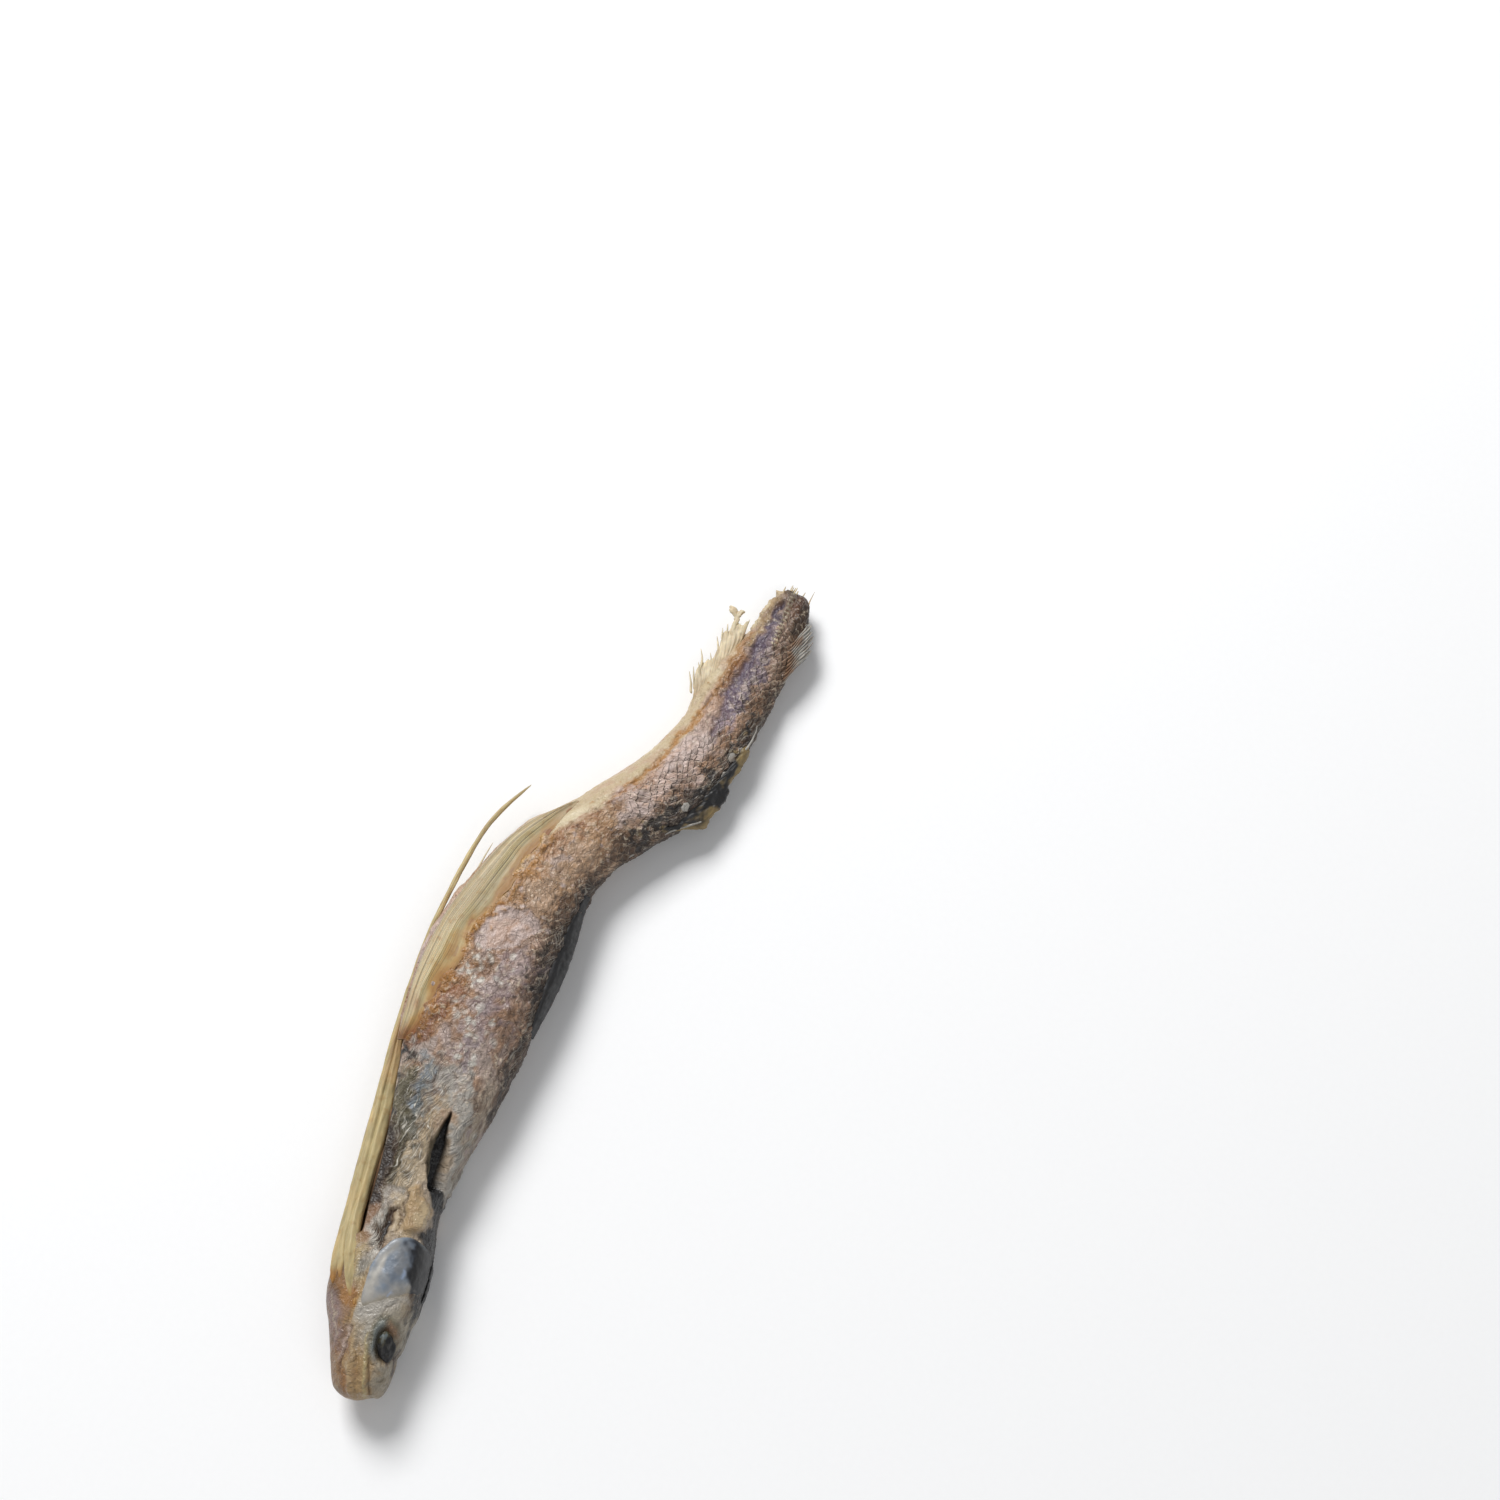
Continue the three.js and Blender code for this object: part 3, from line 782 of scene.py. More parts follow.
@dataclass(frozen=True)
class GillBone:
    """The gill cover's bone with its silvering: smooth and pearly, with a bluish glint."""

    name: str = "silvered_gill_bone"
    cloud_mm: float = 1.7
    fine_mm: float = 0.35
    relief_mm: float = 0.05

    def material(self) -> bpy.types.Material:
        """The material's nodes."""
        n = Nodes(self.name)
        place = n.add("TexCoord", out="Object")
        tint = n.add("Attribute", {"attribute_name": "Tint"}, "Color")
        cloud = n.add("TexNoise", Vector=place, Scale=1 / (self.cloud_mm * MM), Detail=3, Distortion=0.4)
        shade = n.add("MapRange", i0=cloud, i1=0.35, i2=0.66, i3=0.86, i4=1.08)
        grey = n.add("CombineColor", Red=shade, Green=shade, Blue=shade)
        colour = n.add("Mix", SHADE, 2, i0=0.8, i6=tint, i7=grey)
        rough = n.add("MapRange", i0=cloud, i1=0.35, i2=0.7, i3=0.55, i4=0.38)
        fine = n.add("TexNoise", Vector=place, Scale=1 / (self.fine_mm * MM), Detail=2)
        bump = n.add("Bump", Height=fine, Strength=0.5, Distance=self.relief_mm * MM)
        n.join(n.shader, Base_Color=colour, Roughness=rough, Normal=bump, Coat_Normal=bump,
               Metallic=0.1, IOR=1.5, Coat_Weight=0.25, Coat_Roughness=0.28)
        return n.material


@dataclass(frozen=True)
class DriedEye:
    """The shrunken eye: a dull black lens under a wrinkled, still glossy cornea."""

    name: str = "dried_cornea"
    film_mm: float = 0.45
    relief_mm: float = 0.08
    haze: str = "#645f54"

    def material(self) -> bpy.types.Material:
        """The material's nodes."""
        n = Nodes(self.name)
        place = n.add("TexCoord", out="Object")
        tint = n.add("Attribute", {"attribute_name": "Tint"}, "Color")
        film = n.add("TexNoise", Vector=place, Scale=1 / (self.film_mm * MM), Detail=3)
        haze = n.add("MapRange", i0=film, i1=0.5, i2=0.72, i4=0.22)
        colour = n.add("Mix", BLEND, 2, i0=haze, i6=tint, i7=rgba(self.haze))
        bump = n.add("Bump", Height=film, Strength=0.8, Distance=self.relief_mm * MM)
        n.join(n.shader, Base_Color=colour, Roughness=0.44, Normal=bump, IOR=1.38,
               Coat_Weight=0.25, Coat_Roughness=0.2)
        return n.material


DARK_FROM = Table((
    (0, 1.9), (8, 2.9), (14, 3), (18, 3.3), (26, 4.3), (30, 3.5), (34, 4.8), (38, 5.5), (43, 4.3),
    (48, 4), (52, 4.2), (56, 4), (60, 3.9), (64, 3.4), (70, 3.2), (76, 3), (82, 2.5), (90, 2.2),
    (96, 1.2),
))
CREAM_FROM = Table((
    (54, -4), (57, -1.6), (60.8, -0.8), (64.2, -0.86), (67.5, -0.95), (70, -1.45), (74.5, -1.7),
    (79.1, -2.6), (83, -2.5), (88, -2.5), (92, -1.9), (96, -1.2),
))


def creamy(spots: Spots) -> Array:
    """Share of each spot on the cream band along the belly."""
    edge = CREAM_FROM.read(1, spots.station)
    band = ramp(0.75, -0.5, spots.across - edge + 1.6 * spots.sway[:, 0])
    return band * ramp(54.5, 58, spots.station + 5 * spots.sway[:, 1])


def crumpled(spots: Spots) -> Array:
    """Wrinkles, dents and pits of the skin in millimetres, softer on the face."""
    hard = 0.34 + 0.1 * ramp(9, 17, spots.station) + 0.56 * ramp(23, 34, spots.station)
    along = STREAK.over(spots, 2.4, 0.55)
    dents = COARSE.over(spots, 2.2, 1.7)
    pits = FINE.over(spots, 0.5, 0.45, 2)
    bumps = FINE.over(spots, 0.75, 0.6, 2) * ramp(24, 34, spots.station)
    bumps = bumps * (0.4 + 1.3 * ramp(-0.1, 0.12, dents))
    return hard * (0.24 * along + 0.4 * dents + 0.1 * pits + 0.24 * bumps)


def bare(spots: Spots) -> Array:
    """Colours of the bare skin from the snout to the stump, before the strokes."""
    station, across = spots.station, spots.across
    cloud, mottle = COARSE.over(spots, 3.4, 2.2), COARSE.over(spots, 1.3, 0.8)
    drawn = STREAK.over(spots, 1.5, 0.42)
    tint = spots.ground(FLESH)
    patch = 0.7 * mottle + 0.9 * cloud
    pinkish = ramp(29, 33, station) * ramp(48, 43, station)
    rosy = (0.8 - 0.3 * pinkish) * ramp(0.0, 0.14, patch)
    tint = stain(tint, ROSE, rosy)
    pinkish = 0.3 + 0.7 * (pinkish + ramp(63, 67, station) * ramp(79, 75, station))
    tint = stain(tint, PINK, 0.75 * pinkish * ramp(0.0, 0.14, -patch))
    tan = ramp(46, 50, station) * ramp(66, 62, station)
    tint = stain(tint, HORN, 0.4 * tan)
    brown = ramp(2.2, 5.4, across + 7 * cloud) * ramp(28, 38, station)
    brown = np.maximum(brown, ramp(60, 72, station) * ramp(0.9, 3.4, across + 6 * cloud))
    tint = stain(tint, BARK, 0.8 * brown)
    neck = ramp(12, 15, station) * ramp(34, 26, station + 10 * cloud)
    tint = stain(tint, CHEEK, 0.75 * neck)
    face = ramp(14.5, 12, station)
    dull = stain(spots.ground(CHEEK), HORN, 0.7 * ramp(-0.05, 0.2, cloud))
    tint = mix(tint, dull, face)
    # Browner towards the back: the back's own dark colour, with painted shade as the flank falls away
    # towards the back
    dark_back_and_shade = ramp(-0.7, 0.9, across - DARK_FROM.read(1, station) + 4.5 * drawn + 3 * cloud)
    tint = stain(tint, UMBER, 0.85 * dark_back_and_shade)
    black = ramp(0.4, 1.6, across - DARK_FROM.read(1, station) + 5 * mottle)
    tint = stain(tint, SOOT, 0.7 * black)
    # The far flank's belly side is as creamy as the band that shows
    under = ramp(0.25, 0.95, -spots.share()) * (1 - spots.upward) * ramp(12, 20, station)
    tint = stain(tint, CREAM, 0.7 * under)
    band = stain(spots.ground(CREAM), PALE, ramp(-0.05, 0.15, cloud))
    band = stain(band, STRAW, 0.2 * ramp(0.02, 0.2, mottle))
    band = stain(band, FLESH, 0.5 * ramp(0.0, 0.2, -mottle))
    return mix(tint, band, creamy(spots))


SLIT = (
    (18.6, 2.5, 0.3), (20.6, 2.05, 0.66), (22.7, 1.5, 0.9), (24.3, 1.35, 0.86), (25.6, 1.35, 0.42),
    (27.5, 1.5, 0.03),
)
STRIPE = (
    (64.8, -0.6, 0.06), (67.6, -0.75, 0.18), (69, -1.2, 0.28), (71.3, -1.4, 0.3), (73.9, -1.85, 0.34),
    (76.3, -2.1, 0.3), (78.2, -2.1, 0.24), (80.3, -2.4, 0.1),
)
PURPLE = (
    (76.6, 0.7, 0.15), (78.4, 0, 0.5), (81.7, -0.75, 0.6), (85, -0.55, 0.6), (89.2, -0.7, 0.55),
    (91.4, -0.7, 0.45), (94.2, -0.7, 0.25),
)
FOLD_LINE = (
    (34.2, -4.4, 0.4), (36.6, -3.3, 0.4), (38.6, -3.3, 0.4), (41.5, -2.3, 0.35), (43.9, -2.4, 0.4),
    (46.1, -2.2, 0.4), (48.6, -0.9, 0.3), (52.2, -0.7, 0.35), (55.5, -1.3, 0.3), (58.5, -1.2, 0.15),
)

# Short rusty dashes along the inner edge of the cream band
DASHES = tuple(
    ((55.6 + 0.78 * step, -0.9 + 0.35 * (step % 3), 0.04),
     (56.3 + 0.78 * step, -0.75 + 0.3 * (step % 3), 0.08))
    for step in range(15)
)

# Short raised rungs along the tail's side, like a ladder, up to the stump; their pale paint is painted
# highlight
RUNGS = tuple(
    ((95.6 - 0.5 * step, 0.05 * step - 0.3, 0.09), (95.5 - 0.5 * step, 0.05 * step + 0.2, 0.09))
    for step in range(14)
)

# Round pale scales left in the purple of the tail: station, across and half width
ROUND_SCALES = (
    (79.4, 0.9, 0.25), (80.6, 0.2, 0.28), (81.9, 0.62, 0.34), (83, 0.3, 0.4), (84.3, 0.82, 0.4),
    (85.4, 0.2, 0.26), (86.8, 0.62, 0.4), (88.1, 0.54, 0.42), (89.6, 0.3, 0.25),
)

RELIEF = (
    # Groove under the golden fold
    Stroke(((42, -3.6, 0.7), (46, -3.3, 0.9), (50, -2.4, 1), (54.5, -2.8, 0.9), (58, -3.2, 0.7)),
        height=-0.16, soft=0.5, ragged=0.2),
    # Face: mouth line, jaw ridges, the line beside them, nostril, cheek crease, throat fold
    Stroke(((0.9, 1.23, 0.05), (2.4, 0.88, 0.06), (3.7, 0.45, 0.03)), height=-0.18, soft=0.3, ragged=0.04),
    Stroke(((1.5, 0.6, 0.12), (3, 0.21, 0.2), (4.5, -0.11, 0.18), (6, -0.25, 0.1)), height=0.26,
        soft=0.6, ragged=0.08),
    Stroke(((0.3, 0.1, 0.05), (2.7, -0.55, 0.08), (5.2, -1, 0.05)), height=-0.22, soft=0.35, ragged=0.1),
    Stroke(((0.6, -0.5, 0.2), (3.2, -1.2, 0.25), (6, -1.5, 0.2)), height=0.24, soft=0.6, ragged=0.15),
    Stroke(((2, -2.05, 0.06), (4.3, -2.19, 0.1), (6.2, -2.08, 0.08)), height=-0.3, soft=0.4, ragged=0.1),
    Stroke(((2.4, 2.1, 0.1), (2.1, 1.8, 0.08)), height=-0.22, soft=0.25, ragged=0.05),
    Stroke(((9.2, 1.5, 0.05), (8.4, 0.8, 0.08), (7.6, 0.45, 0.08), (6.8, 0.2, 0.03)), height=-0.16,
        soft=0.6, ragged=0.3),
    Stroke(((4, -2.76, 0.1), (6.6, -2.4, 0.1), (8.5, -2.5, 0.2), (13.5, -2.4, 0.3)), height=-0.4,
        soft=0.7, ragged=0.2),
    # Lump of bone behind the gills, its edge, the pit by it, and the slit with its lips
    Stroke(((16.3, 1.15, 0.7), (17.6, 1.2, 0.9), (19.3, 0.3, 0.6)), height=0.6, soft=0.9, ragged=0.3),
    Stroke(((15.8, 0.1, 0.08), (17.4, -0.15, 0.08), (19.6, -0.55, 0.06)), height=-0.3, soft=0.4,
        ragged=0.4),
    Stroke(((14, -1.63, 0.4), (15.3, -1.5, 0.6), (16.6, -1.23, 0.5), (17.4, -0.6, 0.2)), height=-0.55,
        soft=0.8, ragged=0.4),
    Stroke(SLIT[1:], height=-1.7, soft=0.24, ragged=0.06),
    Stroke(((18.4, 3.3, 0.3), (22, 3, 0.35), (27, 2.5, 0.3)), height=0.22, soft=0.7),
    Stroke(((20.4, 0.8, 0.2), (23.8, -0.1, 0.25), (26.4, 0.4, 0.2)), height=0.2, soft=0.7),
    # Long torn folds over the neck, the pale patch worn low, and the rusty stripe's groove
    Stroke(((19, -1.6, 0.1), (24, -1.4, 0.14), (31, -1.9, 0.1)), height=-0.3, soft=0.5),
    Stroke(((20, -2.6, 0.14), (26, -2.6, 0.2), (32, -3, 0.1)), height=0.3, soft=0.6, ragged=0.8),
    Stroke(((44.4, -0.8, 1), (46.5, 0.7, 1.9), (47.7, 2.2, 1.4)), height=-0.12, soft=0.3, ragged=0.45),
    Stroke(FOLD_LINE, height=0.12, soft=0.5, ragged=0.8),
    Stroke(STRIPE, height=-0.14, soft=0.35, ragged=0.1),
    # Tail: purple groove, its brown ridge, and gold beads
    Stroke(PURPLE, height=-0.26, soft=0.6, ragged=0.3),
    Stroke(((93.5, 1.3, 0.3), (86, 2, 0.4), (79, 1.7, 0.3)), height=0.2, soft=0.8),
    Stroke(((81.4, -2.2, 0.3), (84, -2.1, 0.3), (88.3, -2.4, 0.2)), height=0.14, soft=0.5),
    *(Stroke(rung, height=0.18, soft=0.16, ragged=0.02) for rung in RUNGS),
)

PAINT = (
    # Face: horn-coloured jaws, bright ridge, dark mouth line, grey-green round the eye
    Stroke(((0, 0, 2.4), (2.6, -0.8, 2), (5, -1.6, 0.9)), HORN, 0.9, 1.4, 0.6),
    Stroke(((0, -1.2, 0.9), (2.4, -1.8, 0.8), (4.6, -2.6, 0.5)), BARK, 0.9, 1.2, 0.6),
    Stroke(((0.2, -0.9, 0.5), (2.4, -1.3, 0.4)), OCHRE, 0.4, 0.9, 0.6),
    Stroke(((0, 1.5, 0.5), (2.2, 2, 0.5)), CHEEK, 0.7, 0.8, 0.5),
    Stroke(((2.8, -2.5, 0.1), (4.6, -2.6, 0.3), (6.4, -2.4, 0.3)), PINK, 0.6, 0.5, 0.4),
    Stroke(((7.4, 0, 0.5), (6.2, -0.9, 0.5), (4.2, -0.5, 0.3)), ASH, 0.45, 0.9, 0.6),
    Stroke(((7.6, -1.5, 0.7), (8.3, -0.3, 0.8), (8.9, 0.9, 0.7), (9.6, 2, 0.5)), ASH, 0.8, 1.4, 0.35),
    Stroke(((0.3, 0.85, 0.12), (3, 0.21, 0.16), (4.5, -0.11, 0.14), (6, -0.25, 0.06)), STRAW, 0.9, 0.3,
        0.12, gloss=0.4),
    Stroke(((0.7, -0.5, 0.1), (3.2, -1.2, 0.14), (6, -1.5, 0.1)), CREAM, 0.55, 0.4, 0.3),
    Stroke(((0.3, 1.4, 0.04), (0.9, 1.23, 0.08), (2.4, 0.88, 0.08), (3.7, 0.45, 0.03)), UMBER, 0.65, 0.25,
        0.05),
    Stroke(((1.2, -2.7, 0.4), (3.2, -3.2, 0.4), (5.4, -4.3, 0.3)), BARK, 0.8, 0.7, 0.4),
    Stroke(((2, -2.05, 0.05), (4.3, -2.19, 0.08), (6.2, -2.08, 0.06)), UMBER, 0.6, 0.25, 0.1),
    Stroke(((9.2, 1.5, 0.03), (8.4, 0.8, 0.05), (7.6, 0.45, 0.04)), UMBER, 0.4, 0.4, 0.3),
    # Throat: a pinkish wedge, then orange where the belly strip's prongs end
    Stroke(((4, -3.2, 0.4), (6.6, -3.9, 1.4), (9.4, -4.7, 1.8), (14, -5, 2)), BARK, 0.85, 0.6, 0.4),
    Stroke(((4.6, -3.4, 0.3), (6.8, -3.9, 0.6), (8.6, -4.9, 0.7)), LILAC, 0.45, 0.9, 0.5),
    Stroke(((5.4, -3.5, 0.05), (7.6, -4.3, 0.06), (8.8, -5, 0.05)), PALE, 0.5, 0.25, 0.3),
    Stroke(((5, -4.3, 0.3), (7.4, -5.5, 0.4)), UMBER, 0.5, 0.8, 0.5),
    Stroke(((6.6, -2.5, 0.25), (8.4, -2.5, 0.4), (9.6, -2.2, 0.3)), HORN, 0.7, 0.6, 0.5),
    Stroke(((8.4, -2.9, 0.4), (9.4, -3.9, 0.7), (10.2, -5.4, 0.7)), OCHRE, 0.6, 0.9, 0.5),
    Stroke(((9, -4.4, 0.5), (10.2, -5.8, 0.6)), UMBER, 0.45, 0.9, 0.7),
    Stroke(((10.6, -3, 0.4), (12.6, -3.3, 0.5), (14.6, -3.6, 0.5)), STRAW, 0.6, 0.7, 0.6),
    # Black from the gill cover to the nape
    Stroke(((15.4, 2.8, 0.8), (12.6, 3.5, 0.9), (10.2, 3.6, 0.8), (9, 3.7, 0.6)), SOOT, 0.97, 0.6, 0.5),
    Stroke(((9, 3.3, 0.3), (6, 3.1, 0.2), (3.2, 2.8, 0.1)), SOOT, 0.7, 0.5, 0.5),
    # Neck: pale beige, grey beside the slit, slate, olive and black towards the cut edge
    Stroke(((15.6, 0.4, 0.6), (19.6, -0.5, 0.9), (22.4, 0, 0.9), (25, -0.3, 0.9), (28.8, 0.4, 0.8)),
        CREAM, 0.6, 1.2, 1),
    Stroke(((19.6, 3, 0.4), (23.2, 2.9, 0.6), (27.7, 2.6, 0.7), (31.4, 2.6, 0.5)), ASH, 0.95, 0.9, 0.8),
    Stroke(((28.4, 1.2, 0.8), (30.4, 0.6, 1.4), (32.2, 1.6, 0.8)), ASH, 0.9, 1.6, 1.2),
    Stroke(((24.6, -1.9, 0.4), (27.7, -1.7, 0.8), (30.4, -1.7, 0.9), (32.2, -2.2, 0.4)), SLATE, 0.8, 1.4,
        1),
    Stroke(((27.4, -2, 0.2), (30.6, -1.9, 0.3)), SKY, 0.25, 0.8, 1.2),
    Stroke(((11.8, -2.3, 0.2), (14.4, -2.4, 0.5), (17, -2.3, 0.5), (19.4, -1.6, 0.4)), ASH, 0.8, 0.8, 0.8),
    Stroke(((12.6, -2.2, 0.1), (15.4, -2.5, 0.2), (18.6, -1.9, 0.2)), MILK, 0.6, 0.5, 0.8),
    Stroke(((18.4, -3, 0.6), (21.6, -2.8, 0.9), (25.6, -3.1, 0.9), (29.8, -3.8, 0.8)), OLIVE, 0.92, 0.9,
        0.7),
    Stroke(((16.8, -3.4, 0.7), (20, -3.3, 1), (22.8, -3.3, 0.9), (25.4, -3.9, 0.5)), UMBER, 0.95, 0.8, 0.5),
    Stroke(((17.2, -3.5, 0.5), (21, -3.4, 0.9), (24.8, -3.7, 0.5)), SOOT, 0.75, 0.8, 0.5),
    Stroke(((17.6, -1.9, 0.4), (19.4, -1.9, 0.4)), UMBER, 0.5, 0.6, 0.6),
    Stroke(((14.6, -3.4, 0.6), (17, -3, 0.6)), BARK, 0.85, 0.9, 0.5),
    Stroke(((13.4, -0.4, 0.3), (15.2, 0, 0.3)), UMBER, 0.4, 0.8, 0.5),
    Stroke(((19.8, -1.6, 0.2), (22.6, -1.5, 0.5), (25.6, -1.9, 0.4)), OLIVE, 0.85, 0.9, 0.9),
    Stroke(((21, -1.5, 0.15), (26, -0.9, 0.2), (30.6, -0.6, 0.2)), UMBER, 0.5, 0.5, 1.2),
    Stroke(((24.6, -4.1, 0.2), (27.3, -4.5, 0.35), (30, -4.9, 0.15), (33.2, -5, 0.5)), SOOT, 0.95, 0.4,
        0.8),
    Stroke(((32.2, -5, 0.5), (32.3, -3.4, 0.35)), SOOT, 0.8, 0.5, 0.9),
    Stroke(((19.5, 4.2, 0.4), (25, 4.5, 0.5), (27, 4.7, 0.3)), LILAC, 0.5, 0.8, 0.8),
    # Lump of bone, its painted highlight, and the pit by it
    Stroke(((16.3, 1.15, 0.9), (17.6, 1.2, 1.1), (19.4, 0.3, 0.7)), HORN, 0.7, 0.6, 0.4),
    # Painted highlight, cream and glossy, on the lump's back side
    Stroke(((16.4, 1.6, 0.3), (17.8, 1.5, 0.4), (18.8, 0.9, 0.25)), CREAM, 0.85, 0.5, 0.4, gloss=0.5),
    Stroke(((15.8, 0.1, 0.06), (17.4, -0.15, 0.1), (19.6, -0.55, 0.06)), UMBER, 0.8, 0.3, 0.4),
    Stroke(((14, -1.63, 0.5), (15.3, -1.5, 0.65), (16.6, -1.23, 0.55), (17.4, -0.6, 0.2)), UMBER, 0.95,
        0.5, 0.5),
    Stroke(((14.9, -1.5, 0.3), (16.2, -1.3, 0.3)), SOOT, 0.9, 0.4, 0.3),
    # Slit behind the lump
    Stroke(SLIT, SOOT, 1, 0.2, 0.06, gloss=0.5),
    Stroke(((20.6, 2.2, 0.42), (18.6, 2.75, 0.4), (16.8, 3, 0.4), (15.2, 2.9, 0.5)), SOOT, 0.95, 0.3, 0.2,
        gloss=0.5),
    Stroke(((20.8, 1.42, 0.06), (23.7, 0.52, 0.08), (25.6, 0.85, 0.06)), PALE, 0.6, 0.25, 0.2),
    # Flank: lilac and salt-white clouds, orange towards the golden fold, worn patches, freckles
    Stroke(((31.5, 1.2, 0.9), (36.5, 1.8, 1.2), (41.5, 2.4, 1.2), (43.6, 4, 0.6)), LILAC, 0.65, 2, 1.6),
    Stroke(((33.5, 0.4, 0.5), (38, 0.6, 0.8), (41.8, 1.4, 0.6)), PINK, 0.55, 1.2, 1.8),
    Stroke(((38, -3.2, 0.5), (41, -2, 0.9), (43.4, -1.4, 0.6)), OCHRE, 0.5, 1.4, 1.4),
    Stroke(((47.6, -1, 0.3), (51, -0.2, 0.7), (54.6, -0.8, 0.6), (57, -0.6, 0.3)), GOLD, 0.4, 1.2, 1.2),
    Stroke(((33.6, -4.4, 0.5), (35.4, -3.6, 1), (37.4, -2.2, 0.9), (39.6, -2.4, 0.7)), RUST, 0.8, 1, 1),
    Stroke(((35, -2.4, 0.5), (36.8, -1.7, 0.5)), OCHRE, 0.5, 0.8, 0.9),
    Stroke(((33.4, -4.6, 0.5), (34.8, -4.2, 0.5)), UMBER, 0.5, 0.8, 0.6),
    Stroke(((50, 0, 0.5), (54.2, -0.4, 0.7), (61.5, 0.1, 0.5)), RUST, 0.45, 1.2, 1.2),
    Stroke(((44, -0.6, 2), (46.4, 0.8, 3.1), (47.8, 2.4, 2.2)), BARK, 0.35, 1.2, 0.6),
    Stroke(((44.4, -0.6, 1.2), (46.3, 0.6, 2.3), (47.6, 2.2, 1.5)), PINK, 0.85, 0.35, 0.4),
    Stroke(((44.6, -0.2, 0.6), (46.4, 1, 1.2), (47.4, 1.8, 0.9)), FLESH, 0.5, 0.9, 0.9),
    Stroke(((45, 0.5, 0.12), (46.6, 1.7, 0.16), (48.8, 2, 0.1)), ROSE, 0.6, 0.4, 0.9),
    Stroke(((67, 1, 0.7), (71, 1, 1.1), (75.6, 0.8, 1)), PINK, 0.6, 1.6, 1.2),
    Stroke(((62.4, 2.6, 0.3), (63.2, 2, 0.5), (66.7, 1.5, 0.5)), PINK, 0.7, 0.6, 0.9),
    Stroke(((65, 3.6, 0.3), (66.4, 3.4, 0.2)), PINK, 0.6, 0.4, 0.8),
    Stroke(((55, 1.1, 0.4), (56.4, 1.2, 0.3)), PINK, 0.6, 0.6, 0.9),
    Stroke(((40.9, -1.67, 0.32),), MILK, 0.7, 0.3, 0.3),
    Stroke(((41.1, -0.96, 0.22), (42.3, -0.37, 0.2)), MILK, 0.6, 0.3, 0.4),
    Stroke(((37.1, -2.39, 0.25),), PALE, 0.6, 0.3, 0.4),
    Stroke(((42.6, 2.67, 0.35), (39.5, 1.69, 0.3)), PINK, 0.6, 0.5, 0.9),
    *freckles(21, 40, (33, 62, -1.5, 4.6), (0.1, 0.3), PINK),
    *freckles(32, 54, (32.5, 44, -1.4, 3.6), (0.12, 0.36), MILK),
    *freckles(22, 30, (30, 60, -1.5, 4.8), (0.08, 0.22), UMBER),
    *freckles(23, 16, (60, 78, -0.4, 3), (0.1, 0.3), PINK),
    *freckles(24, 12, (34, 50, -3, -0.5), (0.1, 0.25), OCHRE),
    # Orange line along the golden fold, with rust in it
    Stroke(((43, -3.2, 0.6), (46.5, -2.6, 0.7), (50, -2, 0.8), (54.5, -2.4, 0.8), (58, -2.8, 0.6)),
        GOLD, 0.85, 0.5, 0.4),
    Stroke(FOLD_LINE, OCHRE, 0.85, 0.5, 0.7), *freckles(25, 16, (35, 57, -3.4, -0.6), (0.06, 0.16), RUST),
    # Stripes over the cream band
    Stroke(STRIPE, OCHRE, 0.6, 1, 0.5), Stroke(STRIPE, OCHRE, 0.75, 0.3, 0.45),
    *(Stroke(dash, RUST, 0.7, 0.25, 0.25) for dash in DASHES),
    Stroke(((80.6, -2.1, 0.3), (83.6, -2.1, 0.7), (86.2, -2.2, 0.6), (89.4, -2.3, 0.3)), OCHRE, 0.72, 0.6,
        0.4, gloss=0.3),
    Stroke(((82.4, -1.7, 0.15), (84.6, -1.6, 0.25), (86, -1.8, 0.15)), RUST, 0.6, 0.5, 0.5),
    *freckles(26, 14, (60, 88, -3.6, -1.4), (0.05, 0.14), OCHRE),
    # Tail: purple in its groove, lilac scales beside it, tan, and brown ridged scales
    Stroke(((88, -1.7, 0.3), (92, -1.7, 0.35), (94.6, -1.5, 0.25)), HORN, 0.9, 0.4, 0.3),
    Stroke(((76.5, 1.2, 0.3), (81.9, 0.1, 0.9), (85.4, 0.2, 1), (89.2, -0.1, 0.8), (93.6, -0.5, 0.4)),
        LILAC, 0.85, 0.6, 0.7),
    Stroke(PURPLE, PLUM, 0.8, 0.7, 0.4),
    Stroke(((79, 0.8, 0.2), (82.4, 0.2, 0.2), (86, 0.9, 0.2)), PLUM, 0.7, 0.5, 1),
    *(Stroke(((station, across, size + 0.15),), PLUM, 0.85, 0.25, 0.2) for station, across,
        size in ROUND_SCALES),
    *(Stroke(((station, across, size),), PINK, 0.95, 0.2, 0.15, gloss=0.4) for station, across,
        size in ROUND_SCALES),
    *freckles(27, 20, (77.5, 89, -0.6, 1.3), (0.08, 0.24), PINK),
    *freckles(31, 10, (79, 90, -0.9, 1.2), (0.05, 0.12), MILK),
    Stroke(((79.3, 1.7, 0.4), (85.6, 2.3, 0.6), (90.8, 2.2, 0.6), (93.5, 1.8, 0.4)), BARK, 0.7, 0.6, 0.7),
    Stroke(((91, 1.9, 0.5), (94, 1.4, 0.7), (95.7, 0.6, 1), (96.4, -0.2, 1)), UMBER, 0.85, 0.7, 0.5,
        gloss=0.3),
    Stroke(((93.4, 1, 0.4), (95.8, 0.7, 0.5)), RUST, 0.6, 0.6, 0.5, gloss=0.5),
    Stroke(((95.6, -1, 0.4), (96.2, -1.5, 0.3)), BARK, 0.8, 0.4, 0.4, gloss=0.6),
    Stroke(((95.9, -0.1, 0.3), (92, 0.4, 0.28), (88.6, 0.8, 0.2)), BARK, 0.6, 0.3, 0.2),
    # The rungs' pale paint is painted highlight on them
